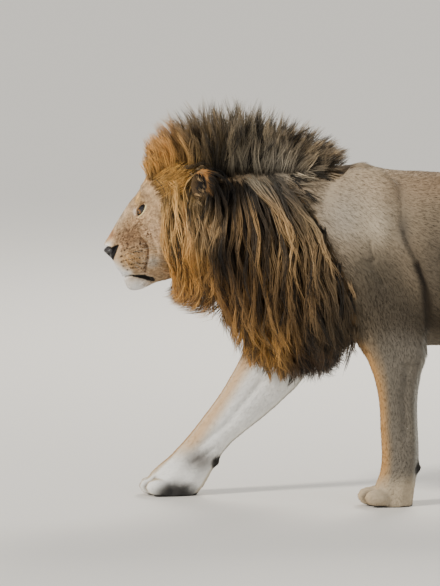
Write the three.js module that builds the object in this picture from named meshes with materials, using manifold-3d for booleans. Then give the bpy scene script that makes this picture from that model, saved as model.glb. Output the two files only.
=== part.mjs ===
// A walking male lion, life size, as a still model.
// Millimetres, +Z up, head towards -X, left side at -Y.
import * as THREE from "three";
import { mergeVertices } from "three/addons/utils/BufferGeometryUtils.js";
import Module from "manifold-3d";

const wasm = await Module();
wasm.setup();

// Driving dimensions. X is counted from the withers, over the left forefoot, until MIDDLE moves it.
const MIDDLE = -122; // puts the origin halfway between the nose and the tip of the tail
const GAP = 1; // clearance where two pieces meet
const FINENESS = GAP / 2; // details smaller than this are left out of the meshes
const FLOOR = 0; // every paw is cut flat here
const STEP_OUT = 112; // from the midline to the middle of a paw
const EYE_RADIUS = 20;
const EAR_RADIUS = 56;
const TAIL_ROOT_RADIUS = 34;
const TAIL_TIP_RADIUS = 12;

const COLOURS = {
  coat: 0xa8957a,
  face: 0xb99d78,
  pale: 0xc9c2b4,
  mane: 0x6b4f30,
  darkMane: 0x4a4036,
  eye: 0x9a6a24,
  nose: 0x2a2422,
};

const material = (colour, roughness = 0.9) =>
  new THREE.MeshStandardMaterial({ color: colour, roughness, metalness: 0 });
const MATERIALS = {
  coat: material(COLOURS.coat),
  face: material(COLOURS.face),
  pale: material(COLOURS.pale),
  mane: material(COLOURS.mane),
  darkMane: material(COLOURS.darkMane),
  eye: material(COLOURS.eye, 0.1),
  nose: material(COLOURS.nose, 0.5),
};

function solidOf(geometry) {
  const bare = geometry.clone();
  bare.deleteAttribute("normal");
  bare.deleteAttribute("uv");
  const merged = mergeVertices(bare, 1e-3);
  return new wasm.Manifold(
    new wasm.Mesh({
      numProp: 3,
      vertProperties: merged.attributes.position.array,
      triVerts: new Uint32Array(merged.index.array),
    }),
  );
}

function geometryOf(solid) {
  const made = largest(solid.setTolerance(FINENESS)).getMesh();
  const places = new Float32Array(made.numVert * 3);
  for (let i = 0; i < made.numVert; i++)
    for (let k = 0; k < 3; k++)
      places[3 * i + k] = made.vertProperties[made.numProp * i + k];
  const geometry = new THREE.BufferGeometry();
  geometry.setAttribute("position", new THREE.BufferAttribute(places, 3));
  geometry.setIndex(new THREE.BufferAttribute(made.triVerts, 1));
  geometry.computeVertexNormals();
  return geometry;
}

// A list of values at even stations, read as a smooth curve at t from 0 to 1.
function along(values) {
  if (typeof values === "number") return () => values;
  const curve = new THREE.SplineCurve(values.map((v, i) => new THREE.Vector2(i, v)));
  return (t) => curve.getPoint(t).y;
}

const rail = (places) => {
  const curve = new THREE.SplineCurve(places.map(([x, z]) => new THREE.Vector2(x, z)));
  return (t) => curve.getPoint(t);
};

// A closed body between a top and a bottom rail, both drawn in side view. side is its half-width
// at each station and y the middle of it; crown and jowl are the share of that width left near the
// top and bottom. Each swell pushes the surface around a point, the same on both sides.
function body(shape, grow = 0) {
  const { top, bottom, side, y = 0, crown = 1, jowl = 1, power = 2.3 } = shape;
  const { rings, sides, swells = [] } = shape;
  const [high, low] = [rail(top), rail(bottom)];
  const [halfWidth, middle, upper, lower] = [side, y, crown, jowl].map(along);
  const places = [];
  const faces = [];
  const flat = (value) => Math.sign(value) * Math.abs(value) ** (2 / power);
  const ends = [high, low].map((edge) => [edge(0), edge(1)]);
  const lengthways = new THREE.Vector2(
    ends[0][1].x + ends[1][1].x - ends[0][0].x - ends[1][0].x,
    ends[0][1].y + ends[1][1].y - ends[0][0].y - ends[1][0].y,
  ).normalize();
  for (let ring = 0; ring <= rings; ring++) {
    const t = ring / rings;
    const past = ring === 0 ? -grow : ring === rings ? grow : 0;
    const a = high(t).addScaledVector(lengthways, past);
    const b = low(t).addScaledVector(lengthways, past);
    const across = new THREE.Vector2().subVectors(a, b).normalize();
    a.addScaledVector(across, grow);
    b.addScaledVector(across, -grow);
    for (let i = 0; i < sides; i++) {
      const angle = (2 * Math.PI * i) / sides;
      const rise = flat(Math.cos(angle));
      const share = rise > 0 ? upper(t) : lower(t);
      const reach = (halfWidth(t) + grow) * (1 + (share - 1) * rise * rise) * flat(Math.sin(angle));
      const { x, y: z } = new THREE.Vector2().lerpVectors(b, a, (1 + rise) / 2);
      const place = new THREE.Vector3(x, middle(t) + reach, z);
      const mirror = new THREE.Vector3(1, Math.sign(place.y), 1);
      for (const { at, radius, push } of swells) {
        const far = place.clone().multiply(mirror).distanceTo(at) / radius;
        place.addScaledVector(push.clone().multiply(mirror), Math.exp(-far * far));
      }
      places.push(place.x + MIDDLE, place.y, place.z);
      const next = (i + 1) % sides;
      const [here, there] = [ring * sides, (ring + 1) * sides];
      if (ring < rings)
        faces.push(here + i, here + next, there + next, here + i, there + next, there + i);
    }
  }
  const [front, back] = [places.length / 3, places.length / 3 + 1];
  for (const ring of [0, rings]) {
    const centre = new THREE.Vector3();
    for (let i = 0; i < sides; i++)
      centre.add(new THREE.Vector3().fromArray(places, 3 * (ring * sides + i)));
    places.push(...centre.divideScalar(sides).toArray());
  }
  for (let i = 0; i < sides; i++) {
    const next = (i + 1) % sides;
    faces.push(front, next, i, back, rings * sides + i, rings * sides + next);
  }
  const geometry = new THREE.BufferGeometry();
  geometry.setAttribute("position", new THREE.Float32BufferAttribute(places, 3));
  geometry.setIndex(faces);
  const made = solidOf(geometry);
  if (made.volume() > 0) return made;
  geometry.setIndex(faces.reverse());
  return solidOf(geometry);
}

function ellipsoid([x, y, z], [rx, ry, rz], turn = [0, 0, 0], [around, up] = [16, 12]) {
  const geometry = new THREE.SphereGeometry(1, around, up);
  const spin = new THREE.Quaternion().setFromEuler(new THREE.Euler(...turn));
  const place = new THREE.Vector3(x + MIDDLE, y, z);
  geometry.applyMatrix4(new THREE.Matrix4().compose(place, spin, new THREE.Vector3(rx, ry, rz)));
  return solidOf(geometry);
}

// A slab across the whole width, from an outline drawn in side view.
function slab(outline, halfWidth) {
  const shape = new THREE.Shape(outline.map(([x, z]) => new THREE.Vector2(x + MIDDLE, z)));
  const geometry = new THREE.ExtrudeGeometry(shape, { depth: 2 * halfWidth, bevelEnabled: false });
  geometry.translate(0, 0, -halfWidth).rotateX(Math.PI / 2);
  return solidOf(geometry);
}

const largest = (solid) => solid.decompose().sort((a, b) => b.volume() - a.volume())[0];
const less = (solid, ...others) => largest(others.reduce((left, other) => left.subtract(other), solid));
const onFloor = (solid) => solid.trimByPlane([0, 0, 1], FLOOR);

// Cuts a solid into pieces a gap apart, at planes given by a point and a direction in side view.
function sliced(solid, cuts) {
  const pieces = [];
  let rest = solid;
  for (const { at: [x, z], towards: [dx, dz] } of cuts) {
    const size = Math.hypot(dx, dz);
    const normal = [dx / size, 0, dz / size];
    const offset = (x + MIDDLE) * normal[0] + z * normal[2];
    pieces.push(largest(rest.trimByPlane(normal.map((v) => -v), -offset + GAP / 2)));
    rest = rest.trimByPlane(normal, offset + GAP / 2);
  }
  return [...pieces, largest(rest)];
}

// Trunk, neck and tail.
const TRUNK = {
  top: [
    [-175, 1030], [-108, 1067], [-20, 1042], [110, 1035], [300, 1031], [470, 1034], [610, 1041],
    [720, 1022], [802, 970], [848, 905],
  ],
  bottom: [
    [-345, 650], [-215, 540], [-20, 486], [150, 478], [320, 494], [470, 530], [600, 585],
    [715, 640], [800, 715], [850, 800],
  ],
  side: [148, 178, 202, 214, 216, 200, 178, 166, 132, 62],
  crown: [0.55, 0.42, 0.55, 0.72, 0.8, 0.8, 0.8, 0.8, 0.85, 1],
  jowl: [0.8, 0.72, 0.72, 0.78, 0.82, 0.8, 0.78, 0.75, 0.8, 1],
  rings: 15,
  sides: 18,
};
const TRUNK_CUTS = [
  { at: [330, 760], towards: [1, 0] },
  { at: [590, 760], towards: [1, 0] },
];
const NECK = {
  top: [[-640, 1025], [-520, 1046], [-390, 1056], [-260, 1062], [-140, 1050]],
  bottom: [[-605, 820], [-510, 752], [-430, 700], [-360, 650], [-300, 620]],
  side: [92, 108, 120, 134, 142],
  crown: 0.7,
  jowl: 0.8,
  rings: 6,
  sides: 16,
};
const TAIL_LINE = [
  [800, 0, 950], [880, 6, 915], [945, 18, 800], [975, 30, 640], [990, 40, 480], [1020, 46, 350],
  [1066, 48, 262],
];
const TUFT_LINE = [[1030, 46.5, 330], [1066, 48, 262], [1098, 49, 205], [1118, 49, 150]];
const TUFT_RADII = [16, 40, 36, 8];
const TAIL_CUTS = [
  { at: [976, 640], towards: [0.1, -1] },
  { at: [1032, 326], towards: [0.45, -1] },
];

// A round tube along a line of points, with a radius at each of them.
function tube(line, radii, rings, sides = 8) {
  const curve = new THREE.CatmullRomCurve3(line.map((p) => new THREE.Vector3(...p)));
  const radius = along(radii);
  const across = new THREE.Vector3(0, 1, 0);
  const places = [];
  const faces = [];
  for (let ring = 0; ring <= rings; ring++) {
    const centre = curve.getPoint(ring / rings);
    const rise = new THREE.Vector3().crossVectors(curve.getTangent(ring / rings), across).normalize();
    for (let i = 0; i < sides; i++) {
      const angle = (2 * Math.PI * i) / sides;
      const place = centre
        .clone()
        .addScaledVector(rise, radius(ring / rings) * Math.cos(angle))
        .addScaledVector(across, radius(ring / rings) * Math.sin(angle));
      places.push(place.x + MIDDLE, place.y, place.z);
      const next = (i + 1) % sides;
      const [here, there] = [ring * sides, (ring + 1) * sides];
      if (ring < rings)
        faces.push(here + i, there + next, here + next, here + i, there + i, there + next);
    }
  }
  for (let i = 1; i < sides - 1; i++)
    faces.push(0, i, i + 1, rings * sides, rings * sides + i + 1, rings * sides + i);
  const geometry = new THREE.BufferGeometry();
  geometry.setAttribute("position", new THREE.Float32BufferAttribute(places, 3));
  geometry.setIndex(faces);
  const made = solidOf(geometry);
  if (made.volume() > 0) return made;
  geometry.setIndex(faces.reverse());
  return solidOf(geometry);
}

const TAIL_RADII = [TAIL_ROOT_RADIUS, 28, 22, 18, 16, 14, TAIL_TIP_RADIUS];

// Legs: the front and rear edge of each, from the shoulder or hip down to below the floor.
const FORELEG = {
  side: [26, 56, 67, 62, 53, 51, 46, 42, 45, 48, 53, 50],
  y: [86, 130, 147, 149, 143, 136, 128, 121, 117, 114, STEP_OUT, STEP_OUT],
  rings: 16,
  sides: 10,
};
const HINDLEG = {
  side: [38, 66, 76, 71, 62, 48, 34, 33, 31, 34, 46, 48],
  y: [80, 114, 130, 140, 144, 139, 130, 126, 122, 118, STEP_OUT, STEP_OUT],
  rings: 16,
  sides: 10,
};
const mirrored = (shape) => ({ ...shape, y: shape.y.map((y) => -y) });
const FORE_LEFT = {
  ...mirrored(FORELEG),
  top: [
    [-150, 1046], [-222, 880], [-222, 735], [-170, 595], [-90, 468], [-58, 388], [-44, 310],
    [-38, 225], [-31, 150], [-38, 95], [-58, 45], [-66, -30],
  ],
  bottom: [
    [-12, 1050], [52, 930], [88, 780], [112, 610], [116, 490], [96, 400], [88, 320], [89, 230],
    [91, 150], [82, 85], [74, 35], [68, -30],
  ],
};
const FORE_RIGHT = {
  ...FORELEG,
  top: [
    [-170, 1036], [-290, 895], [-385, 740], [-420, 600], [-452, 470], [-499, 380], [-541, 310],
    [-590, 242], [-634, 183], [-692, 120], [-738, 82], [-762, 50],
  ],
  bottom: [
    [-30, 1042], [10, 925], [-30, 770], [-120, 570], [-262, 352], [-363, 256], [-427, 208],
    [-494, 155], [-533, 103], [-580, 20], [-640, -40], [-700, -50],
  ],
};
const HIND_LEFT = {
  ...mirrored(HINDLEG),
  top: [
    [612, 985], [562, 850], [537, 700], [548, 570], [620, 470], [770, 360], [858, 275], [882, 200],
    [872, 120], [858, 75], [846, 40], [838, -30],
  ],
  bottom: [
    [800, 985], [872, 870], [876, 720], [850, 590], [872, 480], [940, 392], [986, 318], [970, 225],
    [960, 140], [954, 80], [950, 35], [944, -30],
  ],
};
const HIND_RIGHT = {
  ...HINDLEG,
  top: [
    [600, 985], [510, 850], [448, 715], [440, 590], [490, 475], [566, 362], [598, 278], [582, 205],
    [550, 125], [524, 75], [502, 40], [492, -30],
  ],
  bottom: [
    [800, 985], [856, 860], [812, 710], [742, 570], [690, 475], [700, 360], [722, 302], [688, 215],
    [652, 130], [632, 75], [616, 32], [606, -30],
  ],
};
const LEG_CUTS = {
  foreleg_left: [
    { at: [15, 500], towards: [0, -1] },
    { at: [30, 138], towards: [0, -1] },
  ],
  foreleg_right: [
    { at: [-340, 420], towards: [-0.75, -0.65] },
    { at: [-590, 126], towards: [-0.75, -0.65] },
  ],
  hindleg_left: [
    { at: [700, 545], towards: [0.25, -1] },
    { at: [915, 285], towards: [0.3, -1] },
  ],
  hindleg_right: [
    { at: [600, 545], towards: [-0.1, -1] },
    { at: [655, 280], towards: [0.1, -1] },
  ],
};

// Four toes at the front of a paw, the middle two further forward, and on a foreleg the pad behind
// the wrist.
function withToes(leg, { x, y, z = 30, length, spread, size, wristPad }, grow = 0) {
  const toes = [[-1.5, 20], [-0.5, 0], [0.5, 0], [1.5, 20]].map(([place, back]) => ({
    at: [x + back, y + place * spread, z],
    size: [length, size, size * 1.45],
  }));
  const pads = wristPad ? [{ at: [wristPad[0], y, wristPad[1]], size: [15, 14, 18] }] : [];
  return [...toes, ...pads].reduce(
    (paw, { at, size: radii }) => paw.add(ellipsoid(at, radii.map((v) => v + grow), [0, 0, 0], [8, 5])),
    leg,
  );
}

const FORE_TOES = { length: 42, spread: 32, size: 21 };
const HIND_TOES = { length: 38, spread: 28, size: 18 };
const LEGS = {
  foreleg_left: [FORE_LEFT, { ...FORE_TOES, x: -64, y: -STEP_OUT, wristPad: [84, 118] }],
  foreleg_right: [FORE_RIGHT, { ...FORE_TOES, x: -742, y: STEP_OUT, wristPad: [-540, 104] }],
  hindleg_left: [HIND_LEFT, { ...HIND_TOES, x: 832, y: -STEP_OUT }],
  hindleg_right: [HIND_RIGHT, { ...HIND_TOES, x: 486, y: STEP_OUT }],
};
const leg = (name, grow = 0) => {
  const [shape, toes] = LEGS[name];
  return onFloor(withToes(body(shape, grow), toes, grow));
};

// Head: its own axis runs from the back of the skull to the front of the muzzle, pitched down.
const HEAD = { origin: [-560, 900], pitch: (33 * Math.PI) / 180 };
const headPlace = (forward, up) => [
  HEAD.origin[0] - forward * Math.cos(HEAD.pitch) - up * Math.sin(HEAD.pitch),
  HEAD.origin[1] - forward * Math.sin(HEAD.pitch) + up * Math.cos(HEAD.pitch),
];
// forward, top, bottom, half-width, share of it near the top, share of it near the bottom
const SKULL = [
  [-70, 128, -50, 84, 0.8, 0.8],
  [0, 184, -84, 112, 0.75, 0.75],
  [85, 204, -100, 128, 0.7, 0.7],
  [125, 188, -106, 122, 0.66, 0.66],
  [160, 173, -111, 108, 0.62, 0.66],
  [195, 160, -113, 90, 0.56, 0.7],
  [240, 140, -104, 76, 0.52, 0.72],
  [280, 120, -94, 68, 0.56, 0.7],
  [308, 105, -86, 60, 0.62, 0.7],
  [324, 94, -74, 46, 0.75, 0.75],
  [330, 80, -55, 30, 1, 1],
];
// Places on the left and right of the face that stand out or sink in: how far forward, up and to
// the side each is, its radius, and the push it gives in those three directions.
const FACE = {
  whiskerPad: { at: [292, 22, 52], radius: 36, push: [5, 0, 13] },
  behindPad: { at: [232, 40, 70], radius: 32, push: [0, 0, -9] },
  bridge: { at: [235, 112, 52], radius: 30, push: [0, 0, -8] },
  brow: { at: [146, 160, 56], radius: 28, push: [4, 8, 12] },
  socket: { at: [170, 122, 74], radius: 22, push: [-2, 0, -11] },
  cheekbone: { at: [105, 60, 112], radius: 56, push: [0, 0, 12] },
  chin: { at: [322, -58, 16], radius: 30, push: [9, 0, 6] },
};
const inHead = ([forward, up, side]) => {
  const [c, s] = [Math.cos(HEAD.pitch), Math.sin(HEAD.pitch)];
  return new THREE.Vector3(-forward * c - up * s, side, -forward * s + up * c);
};
const HEAD_SHAPE = {
  top: SKULL.map(([forward, top]) => headPlace(forward, top)),
  bottom: SKULL.map(([forward, , bottom]) => headPlace(forward, bottom)),
  side: SKULL.map((row) => row[3]),
  crown: SKULL.map((row) => row[4]),
  jowl: SKULL.map((row) => row[5]),
  power: 2.5,
  rings: 17,
  sides: 22,
  swells: Object.values(FACE).map(({ at, radius, push }) => ({
    at: inHead(at).add(new THREE.Vector3(HEAD.origin[0], 0, HEAD.origin[1])),
    radius,
    push: inHead(push),
  })),
};
const EYE = { forward: 165, up: 124, side: 52 };
const EAR = { at: [-578, 150, 994], turn: [0.25, 0, -0.5], hollow: [-604, 178, 998] };
const NOSE = { forward: 321, up: 66, size: [21, 36, 26] };
// The closed mouth, from the front of the lips to the corner and on under the cheek.
const MOUTH = [[370, -16], [331, -22], [305, -28], [282, -52], [260, -80], [235, -130]];

const jawRegion = (lift) =>
  slab([...MOUTH.map(([forward, up]) => headPlace(forward, up + lift)), headPlace(370, -140)], 140);
const headOn = (grow = 0) => body(HEAD_SHAPE, grow);
const eyeball = (sign, grow = 0) => {
  const [x, z] = headPlace(EYE.forward, EYE.up);
  const r = EYE_RADIUS + grow;
  return ellipsoid([x, sign * EYE.side, z], [r, r, r], [0, 0, 0], [10, 8]);
};
const nosePad = (grow = 0) => {
  const [x, z] = headPlace(NOSE.forward, NOSE.up);
  const [a, b, c] = NOSE.size.map((v) => v + grow);
  return ellipsoid([x, 0, z], [a, b, c], [0, HEAD.pitch, 0], [10, 6]);
};
const earCup = (sign, grow = 0) => {
  const [x, y, z] = EAR.at;
  const turn = [sign * EAR.turn[0], 0, sign * EAR.turn[2]];
  const size = [EAR_RADIUS * 0.72, EAR_RADIUS * 0.8, EAR_RADIUS].map((v) => v + grow);
  return ellipsoid([x, sign * y, z], size, turn, [10, 7]);
};
const earHollow = (sign) => {
  const [x, y, z] = EAR.hollow;
  const size = [0.62, 0.62, 0.74].map((v) => v * EAR_RADIUS);
  return ellipsoid([x, sign * y, z], size, [0, 0, sign * EAR.turn[2]], [8, 6]);
};

// Mane: a collar of hanging hair and a crest that stands up along the neck.
const COLLAR = {
  top: [
    [-708, 1040], [-690, 1090], [-650, 1104], [-580, 1094], [-500, 1076], [-420, 1062],
    [-330, 1050], [-230, 1030], [-130, 960],
  ],
  bottom: [
    [-700, 700], [-674, 632], [-604, 588], [-522, 570], [-470, 458], [-396, 404], [-295, 382],
    [-200, 384], [-60, 470],
  ],
  side: [122, 172, 206, 226, 240, 250, 250, 244, 236],
  crown: [0.8, 0.7, 0.7, 0.7, 0.7, 0.66, 0.62, 0.6, 0.6],
  jowl: [0.7, 0.66, 0.62, 0.62, 0.66, 0.74, 0.82, 0.9, 0.9],
  rings: 12,
  sides: 18,
};
// The rear edge of the hanging hair, over the shoulder, in side view.
const MANE_EDGE = [
  [-400, 1080], [-330, 1000], [-288, 958], [-222, 836], [-160, 712], [-124, 588], [-132, 508],
  [-190, 380],
];
const CREST = {
  top: [
    [-756, 1072], [-722, 1140], [-655, 1208], [-560, 1234], [-450, 1224], [-350, 1204],
    [-260, 1158], [-180, 1108], [-132, 1074],
  ],
  bottom: [
    [-690, 960], [-650, 930], [-600, 910], [-530, 910], [-440, 910], [-350, 920], [-260, 930],
    [-180, 950], [-130, 980],
  ],
  side: [66, 108, 130, 128, 110, 92, 76, 60, 34],
  crown: 0.4,
  jowl: 1,
  rings: 11,
  sides: 12,
};
// Below this line, in front of the forelegs, the collar hangs free.
const CHEST_LINE = [[-1000, 600], [-360, 600], [0, 560], [0, 200], [-1000, 200]];
const CREST_REGION = [
  [-1000, 1300], [-1000, 1120], [-742, 1040], [-560, 1072], [-380, 1056], [-50, 1056], [-50, 1300],
];
const HALF_SPACE = 600;

function sidePlane(sign) {
  return (solid) => largest(solid.trimByPlane([0, sign, 0], GAP / 2));
}

function makeMane(flesh) {
  const hanging = body(COLLAR).intersect(slab([[-1000, 1300], ...MANE_EDGE, [-1000, 300]], HALF_SPACE));
  const hair = flesh.reduce((left, other) => left.subtract(other), hanging.add(body(CREST)));
  const lifted = (outline, lift) => outline.map(([x, z]) => [x, z + lift]);
  const crest = largest(hair.intersect(slab(lifted(CREST_REGION, GAP), HALF_SPACE)));
  const collar = hair.subtract(slab(CREST_REGION, HALF_SPACE));
  const chest = largest(collar.intersect(slab(lifted(CHEST_LINE, -GAP), HALF_SPACE)));
  const sides = collar.subtract(slab(CHEST_LINE, HALF_SPACE));
  return {
    mane_crest: [crest, "darkMane"],
    mane_left: [sidePlane(-1)(sides), "mane"],
    mane_right: [sidePlane(1)(sides), "mane"],
    mane_chest: [chest, "mane"],
  };
}

function makePieces() {
  const names = Object.keys(LEGS);
  const grownLegs = names.map((name) => leg(name, GAP));
  const grownEyes = [-1, 1].map((sign) => eyeball(sign, GAP));
  const grownEars = [-1, 1].map((sign) => earCup(sign, GAP));
  const bareTail = less(tube(TAIL_LINE, TAIL_RADII, 16), body(TRUNK, GAP));
  const tail = bareTail.add(tube(TUFT_LINE, TUFT_RADII, 6));
  const [tailRoot, tailMiddle, tailTuft] = sliced(tail, TAIL_CUTS);
  const head = headOn().subtract(nosePad(GAP));
  const trunk = sliced(less(body(TRUNK), ...grownLegs), TRUNK_CUTS);
  const pieces = {
    head: [less(head, jawRegion(0), ...grownEyes, ...grownEars), "face"],
    lower_jaw: [largest(head.intersect(jawRegion(-GAP))), "pale"],
    nose: [nosePad(), "nose"],
    eye_left: [eyeball(-1), "eye"],
    eye_right: [eyeball(1), "eye"],
    ear_left: [largest(earCup(-1).subtract(earHollow(-1))), "face"],
    ear_right: [largest(earCup(1).subtract(earHollow(1))), "face"],
    neck: [less(body(NECK), headOn(GAP), body(TRUNK, GAP), ...grownEars, ...grownLegs), "coat"],
    chest: [trunk[0], "coat"],
    belly: [trunk[1], "coat"],
    rump: [trunk[2], "coat"],
    tail_root: [tailRoot, "coat"],
    tail_middle: [tailMiddle, "coat"],
    tail_tuft: [tailTuft, "darkMane"],
    ...makeMane([headOn(GAP), body(NECK, GAP), body(TRUNK, GAP), ...grownLegs, ...grownEars]),
  };
  const divisions = { fore: ["upper", "forearm", "paw"], hind: ["thigh", "shank", "foot"] };
  for (const name of names)
    sliced(leg(name), LEG_CUTS[name]).forEach((piece, i) => {
      pieces[`${name}_${divisions[name.slice(0, 4)][i]}`] = [piece, "coat"];
    });
  return pieces;
}

const lion = new THREE.Group();
lion.name = "lion";
for (const [name, [solid, finish]] of Object.entries(makePieces())) {
  const mesh = new THREE.Mesh(geometryOf(solid), MATERIALS[finish]);
  mesh.name = name;
  lion.add(mesh);
}

export default lion;
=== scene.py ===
import math
import time

import bpy
import numpy as np
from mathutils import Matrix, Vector, noise
from mathutils.bvhtree import BVHTree


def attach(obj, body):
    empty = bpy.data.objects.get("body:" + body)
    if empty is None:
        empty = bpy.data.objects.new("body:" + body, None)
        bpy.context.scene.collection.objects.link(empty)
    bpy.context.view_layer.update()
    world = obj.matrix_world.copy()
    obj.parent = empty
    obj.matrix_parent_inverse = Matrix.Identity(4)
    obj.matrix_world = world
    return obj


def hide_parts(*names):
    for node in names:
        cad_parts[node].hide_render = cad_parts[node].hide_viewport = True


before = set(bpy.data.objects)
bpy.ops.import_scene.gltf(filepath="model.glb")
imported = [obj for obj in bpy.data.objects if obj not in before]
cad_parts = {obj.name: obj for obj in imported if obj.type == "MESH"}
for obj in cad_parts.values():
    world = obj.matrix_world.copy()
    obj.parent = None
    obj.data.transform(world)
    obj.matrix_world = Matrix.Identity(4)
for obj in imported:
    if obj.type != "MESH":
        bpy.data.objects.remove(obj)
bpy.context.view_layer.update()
started = time.time()
dice = np.random.default_rng(7)


def report(stage):
    print(f"lion: {stage}, {time.time() - started:.0f} s")


def ease(value, low, high):
    t = np.clip((np.asarray(value, float) - low) / (high - low), 0, 1)
    return t * t * (3 - 2 * t)


def unit(vectors):
    return vectors / np.maximum(np.linalg.norm(vectors, axis=-1, keepdims=True), 1e-9)


def linear(tones):
    # screen colours of 0 to 255 as the light that they stand for
    value = np.clip(np.asarray(tones, float), 0, 255) / 255
    return np.where(value < 0.04045, value / 12.92, ((value + 0.055) / 1.055) ** 2.4)


def newMaterial(name, settings):
    # a material with these settings of its shader, and what is needed to add more nodes to it
    material = bpy.data.materials.new(name)
    material.use_nodes = True
    nodes = material.node_tree.nodes
    shader = nodes["Principled BSDF"]
    for key, value in settings.items():
        shader.inputs[key].default_value = value
    return material, nodes, material.node_tree.links, shader


def newNode(nodes, kind, operation=None, **settings):
    node = nodes.new(kind)
    if operation:
        node.operation = operation
    for key, value in settings.items():
        node.inputs[key.replace("_", " ")].default_value = value
    return node


cameraValues = {
    "target": (-0.649, 0, 0.648),
    "distance": 14.0,
    "elevation": 6.0,
    "frameHeight": 1.8166,  # what the frame takes in at the target
    "sensor": 36,
    "farthest": 500,
}


def makeCamera(v):
    angle = math.radians(v["elevation"])
    back = Vector((0, -math.cos(angle), math.sin(angle)))
    bpy.ops.object.camera_add(location=Vector(v["target"]) + back * v["distance"])
    camera = bpy.context.object
    camera.rotation_euler = (-back).to_track_quat("-Z", "Y").to_euler()
    camera.data.sensor_width = v["sensor"]
    camera.data.lens = v["sensor"] * v["distance"] / v["frameHeight"]
    camera.data.clip_end = v["farthest"]
    bpy.context.scene.camera = camera


lightValues = {
    "sky": (0.90, 0.93, 0.97),
    "skyStrength": 0.6,
    "backdrop": (1.50, 1.49, 1.43),  # what the camera sees of the sky, close to the far floor
    "aim": (-0.3, 0, 0.6),
    "lamps": {
        "Sun": {"from": (-5.7, -3.4, 5.0), "softness": 10.0, "power": 3.4, "colour": (1.0, 0.95, 0.87)},
        "fill": {"from": (4.5, -6.5, 3.0), "size": 5.0, "power": 120, "colour": (0.86, 0.92, 1.0)},
        "rim": {"from": (1.5, 5.5, 5.5), "size": 3.0, "power": 420, "colour": (1.0, 0.96, 0.9)},
    },
}


def makeLights(v):
    world = bpy.data.worlds.new("sky")
    world.use_nodes = True
    nodes, links = world.node_tree.nodes, world.node_tree.links
    background = nodes["Background"]
    seen = nodes.new("ShaderNodeMix")
    seen.data_type = "RGBA"
    seen.clamp_result = False
    seen.inputs["A"].default_value = (*v["sky"], 1)
    seen.inputs["B"].default_value = (*v["backdrop"], 1)
    links.new(nodes.new("ShaderNodeLightPath").outputs["Is Camera Ray"], seen.inputs["Factor"])
    links.new(seen.outputs["Result"], background.inputs["Color"])
    background.inputs["Strength"].default_value = v["skyStrength"]
    bpy.context.scene.world = world
    for name, one in v["lamps"].items():
        isSun = "softness" in one
        bpy.ops.object.light_add(type="SUN" if isSun else "AREA", location=one["from"])
        lamp = bpy.context.object
        lamp.name = name
        lamp.rotation_euler = (Vector(v["aim"]) - Vector(one["from"])).to_track_quat("-Z", "Y").to_euler()
        lamp.data.energy = one["power"]
        lamp.data.color = one["colour"]
        if isSun:
            lamp.data.angle = math.radians(one["softness"])
        else:
            lamp.data.size = one["size"]


floorValues = {"size": 400, "colour": (0.74, 0.71, 0.65, 1), "roughness": 0.9}


def makeFloor(v):
    bpy.ops.mesh.primitive_plane_add(size=v["size"], location=(0, 0, 0))
    floor = bpy.context.object
    floor.name = "floor"
    settings = {"Base Color": v["colour"], "Roughness": v["roughness"]}
    floor.data.materials.append(newMaterial("floor", settings)[0])


bpy.ops.object.select_all(action="DESELECT")
makeCamera(cameraValues)
makeLights(lightValues)
makeFloor(floorValues)
report("camera, lights and floor")

legParts = {"foreleg": ("upper", "forearm", "paw"), "hindleg": ("thigh", "shank", "foot")}
fleshNodes = ["head", "lower_jaw", "ear_left", "ear_right", "neck", "chest", "belly", "rump"]
fleshNodes += ["tail_root", "tail_middle"]
for leg, parts in legParts.items():
    fleshNodes += [f"{leg}_{side}_{part}" for side in ("left", "right") for part in parts]
eyeNodes = ["eye_left", "eye_right"]
maneNodes = ["mane_crest", "mane_left", "mane_right", "mane_chest"]


def only(piece):
    bpy.ops.object.select_all(action="DESELECT")
    piece.select_set(True)
    bpy.context.view_layer.objects.active = piece


def editAll(piece, operator, **settings):
    # runs an operator on the whole mesh
    only(piece)
    bpy.ops.object.mode_set(mode="EDIT")
    bpy.ops.mesh.select_all(action="SELECT")
    operator(**settings)
    bpy.ops.object.mode_set(mode="OBJECT")


def joinedCopy(nodes, name):
    # one new mesh of copies of the solids, with their loose triangles merged
    bpy.ops.object.select_all(action="DESELECT")
    for node in nodes:
        copy = bpy.data.objects.new(name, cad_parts[node].data.copy())
        bpy.context.scene.collection.objects.link(copy)
        copy.select_set(True)
        bpy.context.view_layer.objects.active = copy
    if len(nodes) > 1:
        bpy.ops.object.join()
    joined = bpy.context.object
    joined.name = name
    joined.data.materials.clear()
    editAll(joined, bpy.ops.mesh.remove_doubles, threshold=0.00002)
    return joined


def evenMesh(nodes, name, voxel):
    # one closed mesh around copies of the solids
    piece = joinedCopy(nodes, name)
    applyModifier(piece, "REMESH", mode="VOXEL", voxel_size=voxel, use_smooth_shade=True)
    return piece


def applyModifier(piece, kind, **settings):
    only(piece)
    modifier = piece.modifiers.new(kind, kind)
    for key, value in settings.items():
        setattr(modifier, key, value)
    bpy.ops.object.modifier_apply(modifier=modifier.name)


def valuesOf(items, key, width, kind=np.float32):
    values = np.empty(len(items) * width, kind)
    items.foreach_get(key, values)
    return values.reshape(-1, width)


def pointsOf(piece):
    return valuesOf(piece.data.vertices, "co", 3).astype(float)


def normalsOf(piece):
    return valuesOf(piece.data.vertices, "normal", 3).astype(float)


def edgesOf(piece):
    return valuesOf(piece.data.edges, "vertices", 2, np.int32)


def sidesOf(points):
    # -1 on the left and 1 on the right
    return np.where(points[:, 1] < 0, -1.0, 1.0)


def bell(x, z, at, reach):
    # 1 at a place in x and z, falling away with its reach in each
    return np.exp(-((x - at[0]) / reach[0]) ** 2 - ((z - at[1]) / reach[1]) ** 2)


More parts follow.
